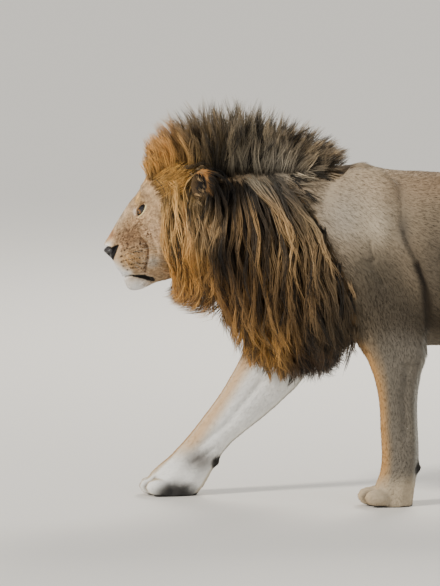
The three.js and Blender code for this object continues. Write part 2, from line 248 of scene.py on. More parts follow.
def nearLine(places, line):
    # how far each place is from a line of points
    nearest = np.full(len(places), np.inf)
    line = np.asarray(line, float)
    for start, end in zip(line[:-1], line[1:]):
        along = end - start
        t = np.clip((places - start) @ along / (along @ along), 0, 1)
        nearest = np.minimum(nearest, np.linalg.norm(places - start - t[:, None] * along, axis=1))
    return nearest


def lineBell(places, line, width):
    # 1 on a line of points, falling away on both sides
    return np.exp(-(nearLine(places, line) / width) ** 2)


def setPoints(piece, points):
    piece.data.vertices.foreach_set("co", points.astype(np.float32).ravel())
    piece.data.update()


def spread(values, edges, rounds, amount=0.5):
    # each point's values move towards the mean of its neighbours' values
    a, b = edges.T
    count = len(values)
    degree = np.maximum(np.bincount(a, minlength=count) + np.bincount(b, minlength=count), 1)[:, None]
    amount = np.broadcast_to(amount, count)[:, None]
    for _ in range(rounds):
        sums = [np.bincount(a, values[b, k], count) + np.bincount(b, values[a, k], count) for k in range(3)]
        values = values + amount * (np.stack(sums, 1) / degree - values)
    return values


def evened(points, edges, rounds, amount=0.5):
    # smooths away flats and ridges and gives back the size that smoothing alone would take
    smooth = spread(points, edges, rounds, amount)
    return smooth + spread(points - smooth, edges, rounds, amount)


# The head has its own directions, in millimetres: forward along the muzzle, up, and out to the side.
headValues = {"origin": (-0.682, 0.900), "pitch": 33.0}
headCos = math.cos(math.radians(headValues["pitch"]))
headSin = math.sin(math.radians(headValues["pitch"]))


def headPlaces(points):
    x = (points[:, 0] - headValues["origin"][0]) * 1000
    z = (points[:, 2] - headValues["origin"][1]) * 1000
    return np.stack([-x * headCos - z * headSin, z * headCos - x * headSin, np.abs(points[:, 1]) * 1000], 1)


def headTurn(vectors, sides):
    # turns forward, up and out into frame directions, sides being -1 on the left and 1 on the right
    forward, up, out = np.asarray(vectors, float).T
    return np.stack([-forward * headCos - up * headSin, out * sides, up * headCos - forward * headSin], 1)


def fromHead(places, sides):
    start = np.array([headValues["origin"][0], 0, headValues["origin"][1]])
    return start + headTurn(places, sides) / 1000


def faceShare(points):
    # 1 on the face, falling to 0 behind the cheeks
    forward = headPlaces(points)[:, 0]
    return ease(forward, 40, 110) * (points[:, 0] < -0.55) * (points[:, 2] > 0.6)


eyeValues = {
    "centre": (165, 124, 52),  # all in the head's own millimetres
    "radius": 19.0,
    "look": (0.36, -0.02, 0.93),
    "long": (0.84, -0.40, -0.38),  # from the outer corner to the inner
    "halfLength": 21.0,
    "halfHeight": 8.6,
    "corner": (12.0, 17.0),  # where the opening turns from the eyeball into a shallow corner
    "lid": 2.8,
    "gaze": (0.80, 0.02, 0.60),
    "bulge": 1.0,
    "bulgeAngle": 40,
    "iris": 11.0,
    "pupil": 4.6,
    "rampReach": 20,
    "pupilTone": (8, 7, 6),
    # the iris tones are darkened from their own amber as painted shade of the deep-set eye
    "innerTone": (150, 108, 50),
    "irisTone": (104, 68, 30),
    "whiteTone": (22, 16, 14),
    "near": 40,  # lids are shaped this near to the centre
    "blend": (28, 38),  # and fade into the face between these distances
}


def eyeFrame(v):
    look = unit(np.array(v["look"]))
    long = np.array(v["long"])
    long = unit(long - look * (long @ look))
    return look, long, np.cross(long, look) * np.sign(np.cross(long, look)[1])


def lidPlaces(places, v):
    # how far outside the eye's opening each place is, in millimetres, below 0 inside it
    look, long, tall = eyeFrame(v)
    offset = places - np.array(v["centre"])
    along, high, out = offset @ long, offset @ tall, offset @ look
    # the upper lid arches and the lower lid is flatter, and both draw to a point at the inner corner
    height = v["halfHeight"] * np.where(high > 0, 1.0, 0.8)
    narrow = 1 - 0.25 * ease(along, 0, v["halfLength"])
    reach = np.sqrt((along / v["halfLength"]) ** 2 + (high / (height * narrow)) ** 2)
    gap = (reach - 1) * np.sqrt(v["halfLength"] * v["halfHeight"])
    return gap, along, high, out, np.linalg.norm(offset, axis=1)


def onHead(points):
    return (points[:, 0] < -0.6) & (points[:, 2] > 0.6)


# Each bump is a place in the head, its reach, and its push forward, up and out.
# Each fold is a line in the head, its depth and its width.
faceValues = {
    "bumps": {
        "browRidge": ((150, 152, 56), 18, (6, 2, 11)),
        "browFront": ((180, 144, 44), 13, (4, 2, 6)),
        "innerSocket": ((196, 108, 54), 14, (-1, 0, -7)),
        "underEye": ((160, 88, 84), 19, (1, -1, 8)),
        "cheekbone": ((122, 76, 110), 34, (0, 0, 8)),
        "temple": ((100, 150, 110), 30, (0, 0, -7)),
        "bridgeEdge": ((238, 128, 34), 17, (0, 2, 6)),
        "bridgeSide": ((236, 92, 60), 24, (0, 0, -8)),
        "noseWing": ((306, 76, 34), 12, (0, 3, 5)),
        "noseTop": ((326, 88, 0), 17, (8, 1, 0)),
        "noseRim": ((330, 78, 12), 10, (5, -4, 2)),
        "noseHollow": ((300, 66, 50), 15, (0, 0, -7)),
        "padFront": ((308, 12, 34), 20, (5, -1, 5)),
        "pad": ((274, 12, 58), 27, (3, -2, 16)),
        "padRear": ((242, 34, 68), 20, (0, 0, 9)),
        "padLow": ((282, -16, 54), 17, (0, -3, 9)),
        "jawFlesh": ((204, -14, 90), 30, (0, 0, 7)),
        "chin": ((322, -56, 8), 20, (5, -1, 6)),
        "jawEdge": ((258, -98, 30), 30, (0, 12, 0)),
        "mouthCorner": ((262, -72, 58), 14, (0, 0, -6)),
    },
    "folds": {
        "mouth": ([(336, -23), (322, -24), (308, -29), (296, -39), (279, -54), (261, -77)], 7.0, 3.6),
        "padRear": ([(219, 50), (213, 34), (216, 14), (235, -14), (252, -28), (264, -44)], 9.0, 5.0),
        "cheekCrease": ([(192, 84), (184, 44), (198, -10)], 3.5, 8.0),
        "underLid": ([(196, 96), (168, 98), (142, 112)], 3.0, 5.0),
        "browFold": ([(186, 152), (168, 164), (142, 176)], 3.5, 5.0),
        "nostril": ([(334, 58), (322, 62), (306, 68), (290, 71)], 5.0, 3.2),
    },
    "philtrum": ([(338, 44), (334, 0), (330, -24)], 4.5, 4.0),
    "philtrumReach": 12,
}


def shapeFace(points, normals, v):
    places = headPlaces(points)
    share = (places[:, 0] > 60) & onHead(points)
    moved = np.zeros_like(points)
    for at, reach, push in v["bumps"].values():
        weight = np.exp(-(((places - np.array(at)) / reach) ** 2).sum(1)) * share
        moved += weight[:, None] * headTurn(np.tile(push, (len(points), 1)), sidesOf(points)) / 1000
    for line, depth, width in v["folds"].values():
        weight = lineBell(places[:, :2], line, width) * share
        moved -= (weight * depth / 1000)[:, None] * normals
    line, depth, width = v["philtrum"]
    across = np.exp(-(places[:, 2] / width) ** 2)
    weight = across * lineBell(places[:, :2], line, v["philtrumReach"]) * share
    moved -= (weight * depth / 1000)[:, None] * normals
    return points + moved


def shapeLids(points, v):
    # the skin covers the eyeball with two lids and dips behind it inside their opening
    places = headPlaces(points)
    gap, along, _, out, distance = lidPlaces(places, v)
    near = (distance < v["near"]) & (out > -2)
    lid = v["radius"] + v["lid"] * ease(gap, -1.2, 0.6) - 5 * (1 - ease(gap, -1.6, 0.0))
    lid -= v["lid"] * 0.6 * ease(gap, 2, 14)
    wanted = np.where(gap < 0.6, lid, np.maximum(distance, lid))
    wanted = distance + (wanted - distance) * (1 - ease(distance, *v["blend"]))
    corner = ease(np.abs(along), *v["corner"]) * (gap < 0.6)
    wanted = wanted * (1 - corner) + np.minimum(distance, lid + 9) * corner - 2.5 * corner * (gap < 0)
    direction = unit(places - np.array(v["centre"]))
    fresh = np.array(v["centre"]) + direction * wanted[:, None]
    return np.where(near[:, None], fromHead(fresh, sidesOf(points)), points)


# Bumps on the trunk and legs: x and z of the middle, reach in x and z, side (-1 left, 1 right, 0 both)
# and push.
bodyValues = {
    "bumps": {
        "shoulderBladeLeft": ((-0.16, 0.96), (0.06, 0.10), -1, 0.010),
        "ridgeLeft": ((-0.15, 0.86), (0.03, 0.06), -1, 0.006),
        "upperArmLeft": ((-0.115, 0.64), (0.06, 0.10), -1, 0.010),
        "armFrontLeft": ((-0.215, 0.56), (0.035, 0.10), -1, -0.004),
        "elbowLeft": ((-0.045, 0.485), (0.035, 0.05), -1, 0.012),
        "forearmLeft": ((-0.12, 0.40), (0.05, 0.09), -1, 0.004),
        "shoulderBladeRight": ((-0.16, 0.93), (0.075, 0.12), 1, 0.014),
        "upperArmRight": ((-0.34, 0.66), (0.085, 0.10), 1, 0.013),
        "flankHollow": ((0.345, 0.80), (0.07, 0.10), 0, -0.018),
        "lowFlank": ((0.36, 0.60), (0.06, 0.06), 0, -0.006),
        "hip": ((0.455, 0.965), (0.045, 0.04), 0, 0.009),
        "seat": ((0.70, 0.86), (0.05, 0.06), 0, 0.007),
        "thighLeft": ((0.545, 0.70), (0.09, 0.12), -1, 0.013),
        "thighRight": ((0.50, 0.70), (0.09, 0.12), 1, 0.013),
        "ribs": ((0.12, 0.76), (0.14, 0.14), 0, 0.006),
    },
    # rear edges of the arms that lie over the ribs: side, and x at each z from the bottom up
    "edges": {
        "left": (-1, (0.50, 0.549, 0.629, 0.695, 0.754, 0.813, 0.872, 0.95, 1.03),
                 (-0.010, -0.013, -0.020, -0.028, -0.050, -0.079, -0.100, -0.104, -0.125)),
        "right": (1, (0.50, 0.56, 0.63, 0.70, 0.76, 0.82, 0.88, 0.95, 1.03),
                  (-0.185, -0.180, -0.172, -0.160, -0.150, -0.145, -0.145, -0.140, -0.145)),
    },
    "edgeRise": 0.007,
    "edgeSink": 0.008,
    "edgeWidth": 0.009,
    "edgeReach": (0.06, 0.07),  # how far the rise goes forward and the sink back
    "folds": {  # line in x and z, side, depth, width
        "behindArmLeft": ([(-0.048, 0.755), (-0.026, 0.695), (-0.018, 0.629), (-0.012, 0.55)], -1, 0.010, 0.010),
        "armFoldLeft": ([(-0.185, 0.765), (-0.17, 0.73), (-0.15, 0.70)], -1, 0.006, 0.012),
        "forearmLeft": ([(-0.075, 0.44), (-0.085, 0.34), (-0.075, 0.22)], -1, 0.006, 0.013),
        "behindArmRight": ([(-0.15, 0.76), (-0.16, 0.70), (-0.18, 0.58)], 1, 0.010, 0.010),
        "armSpiral": ([(-0.190, 0.825), (-0.186, 0.795), (-0.176, 0.772)], -1, 0.006, 0.006),
        "tendonRight": ([(-0.519, 0.360), (-0.634, 0.220), (-0.711, 0.158)], 1, 0.005, 0.011),
        "wristRight": ([(-0.735, 0.105), (-0.700, 0.125), (-0.668, 0.150)], 1, 0.004, 0.007),
        "thighFrontLeft": ([(0.40, 0.78), (0.42, 0.66), (0.42, 0.56)], -1, 0.014, 0.022),
        "thighFrontRight": ([(0.33, 0.78), (0.31, 0.66), (0.31, 0.57)], 1, 0.014, 0.022),
        "thighBackLeft": ([(0.69, 0.80), (0.70, 0.66), (0.66, 0.52)], -1, 0.009, 0.022),
        "hockLeft": ([(0.80, 0.36), (0.82, 0.27), (0.81, 0.20)], -1, 0.006, 0.012),
        "hockRight": ([(0.545, 0.36), (0.545, 0.26), (0.50, 0.18)], 1, 0.006, 0.012),
    },
    "openBelow": 0.48,  # folds show on the inside of the legs too below this height
    "spine": (0.005, 0.018),  # depth and half-width of the groove along the back
    "toes": {  # front of the middle toes in x, middle in y, distance between toes
        "foreLeft": (-0.220, -0.112, 0.032),
        "foreRight": (-0.898, 0.112, 0.032),
        "hindLeft": (0.676, -0.112, 0.028),
        "hindRight": (0.330, 0.112, 0.028),
    },
    "toeGap": {"depth": 0.014, "width": 0.0050, "length": 0.066, "height": 0.075},
}


def behindEdges(x, y, z):
    # how far behind each arm's rear edge the points of its own side are
    for side, heights, places in bodyValues["edges"].values():
        yield x - np.interp(z, heights, places), y * side > 0


def toeCuts(x, y, z, heights, slimmer=1.0):
    # 1 in the middle of each gap between the toes, for one foot after another
    gap = bodyValues["toeGap"]
    for frontX, middleY, between in bodyValues["toes"].values():
        here = (1 - ease(x - frontX, gap["length"] * 0.6, gap["length"])) * (1 - ease(z, *heights))
        here = here * (x > frontX - 0.03)
        for place in (-1, 0, 1):
            cut = np.exp(-((y - middleY - place * between) / (gap["width"] * slimmer)) ** 2)
            yield cut * here * (np.abs(y - middleY) < between * 2.2)


def shapeBody(points, normals, v):
    x, y, z = points.T
    outer = y * normals[:, 1] > 0
    body = (1 - faceShare(points)) * ease(np.abs(normals[:, 1]), 0.15, 0.5)
    moved = np.zeros_like(points)
    for at, reach, side, push in v["bumps"].values():
        weight = bell(x, z, at, reach) * body * (y * side >= 0) * outer
        moved += (weight * push)[:, None] * normals
    for line, side, depth, width in v["folds"].values():
        weight = lineBell(points[:, [0, 2]], line, width) * body
        weight = weight * (y * side > 0) * (outer | (z < v["openBelow"]))
        moved -= (weight * depth)[:, None] * normals
    forward, back = v["edgeReach"]
    for behind, sameSide in behindEdges(x, y, z):
        over = 1 - ease(behind, -v["edgeWidth"], v["edgeWidth"])
        arm = over * v["edgeRise"] * np.exp(-(np.minimum(behind, 0) / forward) ** 2)
        ribs = (1 - over) * v["edgeSink"] * np.exp(-(np.maximum(behind, 0) / back) ** 2)
        window = ease(z, 0.50, 0.58) * (1 - 0.8 * ease(z, 0.80, 0.90)) * (1 - ease(z, 0.96, 1.04))
        window = window * body * sameSide * outer
        moved += ((arm - ribs) * window)[:, None] * normals
    depth, width = v["spine"]
    groove = np.exp(-(y / width) ** 2) * ease(normals[:, 2], 0.5, 0.9)
    groove = groove * ease(x, -0.05, 0.05) * (1 - ease(x, 0.55, 0.65))
    moved -= (groove * depth)[:, None] * normals
    gap = v["toeGap"]
    for cut in toeCuts(x, y, z, (gap["height"] * 0.6, gap["height"])):
        moved -= (cut * gap["depth"])[:, None] * np.stack([normals[:, 0], 0 * x, normals[:, 2]], 1)
    return points + moved


skinValues = {
    "voxel": 0.005,
    "evening": 55,  # rounds of smoothing on the trunk and legs
    "headEvening": 8,
    "withersEvening": 130,
    "coatDepth": 0.007,
    "faceDepth": 0.0015,
    "soleHeight": 0.012,
    "triangles": 176000,
}


def splitNear(piece, chosen):
    # halves the faces whose points are all chosen
    only(piece)
    mesh = piece.data
    loops = valuesOf(mesh.loops, "vertex_index", 1, np.int32)[:, 0]
    starts = valuesOf(mesh.polygons, "loop_start", 1, np.int32)[:, 0]
    picked = np.add.reduceat((~chosen[loops]).astype(int), starts) == 0
    bpy.ops.object.mode_set(mode="EDIT")
    bpy.ops.mesh.select_mode(type="FACE")
    bpy.ops.mesh.select_all(action="DESELECT")
    bpy.ops.object.mode_set(mode="OBJECT")
    mesh.polygons.foreach_set("select", picked)
    bpy.ops.object.mode_set(mode="EDIT")
    bpy.ops.mesh.subdivide(number_cuts=1)
    bpy.ops.object.mode_set(mode="OBJECT")


earValues = {
    "middle": (-0.70, 0, 0.994),
    "reach": (0.07, 1, 0.075),
    "room": (0.09, 1, 0.08),
    "inner": 0.125,
    "hollow": (-0.726, 0.178, 0.998),
}


def fromEar(points, reach):
    # how far from the middle of an ear, seen from the side, 1 being its reach
    return np.linalg.norm((points - earValues["middle"]) / reach, axis=1)


def makeSkin(v):
    skin = evenMesh(fleshNodes + eyeNodes, "skin", v["voxel"])
    points, edges = pointsOf(skin), edgesOf(skin)
    face = faceShare(points)
    ears = np.exp(-(fromEar(points, earValues["room"]) ** 4)) * (np.abs(points[:, 1]) > 0.1)
    feet = 1 - ease(points[:, 2], 0.06, 0.16)
    onTail = (points[:, 2] > 0.28) * (points[:, 1] > -0.05) * (points[:, 1] < 0.09)
    thin = ease(points[:, 0], 0.72, 0.79) * onTail
    held = np.clip(face + ears + feet + thin, 0, 1)
    points = evened(points, edges, v["evening"], 0.5 * (1 - held))
    points = evened(points, edges, v["headEvening"])
    withers = ease(points[:, 2], 0.80, 0.95) * ease(points[:, 0], -0.36, -0.26)
    withers = withers * (1 - ease(points[:, 0], 0.02, 0.14))
    points = evened(points, edges, v["withersEvening"], 0.5 * withers)
    setPoints(skin, points)
    depth = v["coatDepth"] * (1 - 0.7 * ease(0.35 - points[:, 2], 0, 0.25)) * (1 - 0.5 * thin)
    depth = (depth * (1 - face) + v["faceDepth"] * face) * (1 - 0.8 * ears)
    depth *= ease(points[:, 2], 0, v["soleHeight"])
    points = points - normalsOf(skin) * depth[:, None]
    points[:, 2] = np.maximum(points[:, 2], 0)
    setPoints(skin, points)
    setPoints(skin, shapeBody(points, normalsOf(skin), bodyValues))
    report("skin is even")

    places = headPlaces(pointsOf(skin))
    splitNear(skin, (places[:, 0] > 70) & (pointsOf(skin)[:, 0] < -0.62) & onHead(pointsOf(skin)))
    places = headPlaces(pointsOf(skin))
    offset = places - np.array(eyeValues["centre"])
    eye = (np.linalg.norm(offset, axis=1) < 32) & (places[:, 2] > 34)
    mouth = (nearLine(places[:, :2], faceValues["folds"]["mouth"][0]) < 12) & (pointsOf(skin)[:, 0] < -0.8)
    splitNear(skin, eye | mouth)
    setPoints(skin, shapeFace(pointsOf(skin), normalsOf(skin), faceValues))
    setPoints(skin, shapeLids(pointsOf(skin), eyeValues))
    gap, _, _, out, distance = lidPlaces(headPlaces(pointsOf(skin)), eyeValues)
    lids = (distance < 30) & (out > 0)
    splitNear(skin, lids & (np.abs(gap) < 5))
    setPoints(skin, shapeLids(pointsOf(skin), eyeValues))
    report(f"face has its folds, {len(skin.data.polygons)} faces")
    return skin


skin = makeSkin(skinValues)


def thinned(piece, triangles, kept):
    # fewer triangles where the shape is plain, and all of them where kept is 1
    only(piece)
    group = piece.vertex_groups.new(name="plain")
    for level in (0.0, 0.5, 1.0):
        chosen = np.flatnonzero(np.abs((1 - kept) - level) < 0.25)
        group.add(chosen.tolist(), level, "REPLACE")
    editAll(piece, bpy.ops.mesh.quads_convert_to_tris)
    ratio = triangles / len(piece.data.polygons)
    applyModifier(piece, "DECIMATE", ratio=ratio, vertex_group="plain", vertex_group_factor=1.0)
    piece.vertex_groups.clear()


unwrapValues = {"angle_limit": math.radians(66), "island_margin": 0.002}
places = headPlaces(pointsOf(skin))
keepFace = faceShare(pointsOf(skin)) * (np.linalg.norm(places - [250, 40, 50], axis=1) < 150)
thinned(skin, skinValues["triangles"], np.round(keepFace * 2) / 2)
report(f"skin is thinned to {len(skin.data.polygons)} triangles")
skin.data.uv_layers.new(name="OFBake")
editAll(skin, bpy.ops.uv.smart_project, **unwrapValues)
bpy.ops.object.shade_smooth()
report("skin is unwrapped")


def treeOf(piece):
    points = [point.co for point in piece.data.vertices]
    return BVHTree.FromPolygons(points, [face.vertices for face in piece.data.polygons])


skinTree = treeOf(skin)
maneShape = joinedCopy(maneNodes, "maneShape")
maneTree = treeOf(maneShape)
bpy.data.objects.remove(maneShape)


def nearManeShape(points):
    # how far each point is from the solids of the mane, in metres
    return np.array([maneTree.find_nearest(Vector(point))[3] for point in points])


def noiseAt(points, size, seed=0.0):
    offset = Vector((seed, seed * 1.7, seed * 0.6))
    return np.array([noise.noise(Vector(point / size) + offset) for point in points])


# how far forward the long hair grows at each height of the head, in its own millimetres
maneFront = {"up": (-59, -27, 22, 75, 111, 160), "forward": (191, 156, 130, 112, 86, 78)}


def beforeMane(places):
    return places[:, 0] - np.interp(places[:, 1], maneFront["up"], maneFront["forward"])


# The foreleg that reaches forward, seen from inside: its front edge, and its wrist and heel with their reach.
reachValues = {
    "edge": [(-0.56, 0.47), (-0.68, 0.279), (-0.7575, 0.170), (-0.83, 0.115)],
    "edgeWidth": (0.018, 0.060),
    "wrist": ((-0.715, 0.115), (0.045, 0.03)),
    "heel": ((-0.785, 0.012), (0.062, 0.034)),
}
wristPads = {-1: (-0.032, 0.112, 0.118), 1: (-0.656, 0.112, 0.104)}  # by side

# Tones of the coat, as screen colours of 0 to 255.
# Each patch of the face is a tone, a place in the head, its reach forward, up and out, and its strength.
toneValues = {
    "trunk": (142, 125, 102),
    # painted shade: the low flank and the underside are darker where less light reaches them
    "lowFlank": (98, 86, 68),
    "belly": (128, 114, 92),
    # each patch of the body: tone, x and z, reach in x and z, side (0 for both), strength; several are painted
    # shade and a few are painted highlight
    "bodyPatches": {
        # the shoulder's top is lighter, partly the coat's own colour and partly painted highlight; the ridge of
        # the blade is a painted highlight
        "shoulderTop": ((178, 160, 134), (-0.20, 1.00), (0.13, 0.07), 0, 0.85),
        "shoulderGrey": ((158, 150, 138), (-0.27, 0.90), (0.09, 0.10), 0, 0.65),
        "shoulderRidgeHighlight": ((178, 164, 142), (-0.17, 0.87), (0.06, 0.08), 0, 0.8),
        # painted shade: the near upper arm, the low shoulder and the elbow are darkened where shade falls under
        # the shoulder
        "upperArmShade": ((52, 46, 37), (-0.16, 0.67), (0.08, 0.10), -1, 0.8),
        "shoulderLowShade": ((76, 69, 57), (-0.20, 0.75), (0.09, 0.06), -1, 0.65),
        "bladeShade": ((88, 82, 73), (-0.088, 0.860), (0.020, 0.055), -1, 0.6),
        "elbowShade": ((94, 89, 81), (-0.06, 0.485), (0.05, 0.04), -1, 0.6),
        "armShade": ((80, 72, 60), (-0.11, 0.60), (0.07, 0.06), -1, 0.65),
        # painted highlight on the top of the forearm
        "forearmTopHighlight": ((128, 122, 112), (-0.10, 0.53), (0.06, 0.045), -1, 0.65),
        # painted shade on the far upper arm
        "upperArmRight": ((74, 65, 53), (-0.32, 0.68), (0.09, 0.11), 1, 0.7),
        "backRed": ((150, 122, 94), (0.12, 1.00), (0.28, 0.06), 0, 0.7),
        "ribShade": ((66, 59, 49), (0.02, 0.75), (0.08, 0.16), -1, 0.75),
        "ribShadeRight": ((104, 94, 78), (-0.09, 0.74), (0.05, 0.12), 1, 0.5),
        # painted shade on the low flank and in the hollow of the flank
        "lowFlank": ((58, 50, 40), (0.10, 0.56), (0.28, 0.08), 0, 0.72),
        "flankHollow": ((104, 92, 74), (0.36, 0.72), (0.07, 0.14), 0, 0.6),
        "thigh": ((156, 138, 112), (0.55, 0.76), (0.11, 0.15), 0, 0.6),
        "withersTop": ((170, 150, 122), (-0.20, 1.08), (0.10, 0.04), 0, 0.7),
    },
    "creaseShade": (46, 39, 31),
    # the outside of the legs is darker and their front edge lighter, partly the coat's own colour and partly
    # painted shade and painted highlight
    "legOutside": (110, 103, 92),
    "hindLeg": (150, 130, 100),
    "legFront": (184, 138, 84),
    "legRear": (184, 182, 174),
    "legInside": (186, 172, 148),
    "reachInside": (236, 234, 228),  # the inner side of the foreleg that reaches forward
    "reachEdge": (208, 176, 138),
    "reachWristShade": (112, 107, 102),
    "paw": (186, 168, 140),
    # painted shade between the toes
    "toeGap": (70, 62, 52),
    "pads": (40, 38, 36),
    "underManeShade": (84, 66, 44),
    "parting": (128, 118, 102),
    "face": (188, 157, 120),
    "facePatches": {
        "forehead": ((206, 160, 100), (96, 196, 0), (40, 26, 90), 0.9),
        "bridge": ((206, 184, 156), (236, 138, 0), (66, 26, 34), 0.85),
        "noseTop": ((192, 138, 98), (298, 108, 12), (20, 14, 26), 0.6),
        "muzzleSide": ((132, 102, 72), (244, 76, 66), (42, 34, 44), 0.9),
        "pad": ((186, 144, 90), (278, 14, 58), (32, 28, 40), 0.9),
        "noseRim": ((250, 245, 236), (324, 84, 14), (24, 12, 30), 1.0),
        "lip": ((250, 249, 247), (337, 0, 24), (34, 42, 60), 1.0),
        "lipLow": ((244, 242, 238), (312, -15, 36), (24, 14, 38), 1.0),
        "chin": ((254, 255, 255), (312, -64, 0), (50, 38, 66), 1.0),
        # painted shade of the mane over the jaw
        "jaw": ((170, 150, 120), (246, -100, 40), (24, 22, 50), 0.8),
        "cheek": ((206, 175, 141), (170, 44, 104), (40, 40, 50), 0.8),
        "lowCheek": ((204, 196, 184), (228, -30, 82), (24, 20, 40), 0.65),
        "cheekShade": ((126, 100, 70), (158, -34, 110), (20, 24, 40), 0.8),
        "innerEye": ((226, 214, 204), (187, 127, 48), (11, 13, 16), 0.75),
        "brow": ((230, 182, 106), (158, 160, 52), (16, 19, 22), 0.85),
        "browTop": ((214, 186, 152), (140, 182, 40), (30, 14, 40), 0.6),
    },
    "cheekMane": (206, 162, 98),
    "lowerLid": (240, 226, 170),
    "upperLidShade": (112, 84, 52),
    "nostril": (28, 24, 22),
    "eyeRim": (26, 22, 20),
    "lipLine": (30, 28, 25),
    "spot": (42, 28, 18),
    "fleck": (76, 52, 34),
    "padFoldShade": (98, 72, 50),
    "earBack": (48, 40, 32),
    "earRim": (186, 132, 74),
    "earInsideShade": (24, 18, 14),
    "tailBrush": (60, 46, 34),
}

# Where each tone fades: between two heights, two turns of the normal or two distances.
spanValues = {
    "lowFlank": (0.56, 0.78),
    "under": (0.3, 0.8),
    "edgeFoot": (0.55, 0.62),
    "edgeTop": (0.84, 0.94),
    "inner": (0.15, 0.7),
    "leg": (0.46, 0.58),
    "legRear": (0.45, 0.9),
    "legFront": (0.15, 0.75),
    "legInside": (0.50, 0.66),
    "paw": (0.05, 0.12),
    "reaching": (0.50, 0.60),
    "reachPaw": (0.10, 0.18),
    "toes": (0.05, 0.075),
    "wristPad": (0.018, 0.029),
    "sole": (0.004, 0.011),
    "soleTurn": (0.0, 0.5),
    "noseSkin": (296, 320),  # from here on in the head's millimetres
    "cheekMane": (-4, 32),
    "cheekOut": (40, 64),
    "muzzleOut": (16, 36),
    "lipNarrows": (270, 306),
    "lipFades": (300, 318),
    "lipOut": (6, 16),
    "lidInner": (1.5, 2.8),
    "lidOuter": (6.0, 9.5),
    "lidCorner": (2, 6),
    "eyeRim": (1.2, 2.6),
    "earBack": (0.15, 0.45),
    "earHollow": (0.036, 0.043),
    "tailBrush": (0.80, 0.88),
}
wholeTail = {"x": 0.70, "y": (-0.04, 0.09)}
fleckValues = {  # the size of the noise, its seed, and the span of its values that shows
    "muzzle": (0.0048, 3.0, (0.08, 0.26)),
    "rest": (0.0036, 5.0, (0.12, 0.32)),
    "thick": (0.022, 7.0, (-0.3, 0.3)),
}
muzzleValues = {"middle": (230, 68), "reach": (56, 50)}
noseWing = {"rear": 288, "top": (72, 0.17), "low": ((331, 37), 0.74), "soft": (-1.0, 1.5), "middle": 4}

spotValues = {
    # rows on each pad, each from front to rear in the head's millimetres, and the number in the row
    "rows": [((290, 49), (233, 30), 8), ((303, 38), (229, 12), 10), ((309, 24), (236, -8), 10),
             ((309, 9), (247, -23), 9), ((304, -6), (262, -33), 7)],
    "bow": 5.0, "stray": (2.6, 1.8), "size": (2.2, 4.6), "soft": 1.4,
}


def strewnSpots(v):
    # whisker spots: each one's place, forward and up, and its size
    spots = []
    for front, rear, count in v["rows"]:
        for t in np.linspace(0, 1, count):
            stray = dice.uniform(-1, 1, 2) * v["stray"]
            place = np.array(front) * (1 - t) + np.array(rear) * t + (0, v["bow"] * math.sin(math.pi * t)) + stray
            spots.append((*place, dice.uniform(*v["size"])))
    return np.array(spots)


spotPlaces = strewnSpots(spotValues)


def painted(tones, tone, share):
    share = np.clip(share, 0, 1)[:, None]
    return tones * (1 - share) + np.array(tone, float) * share


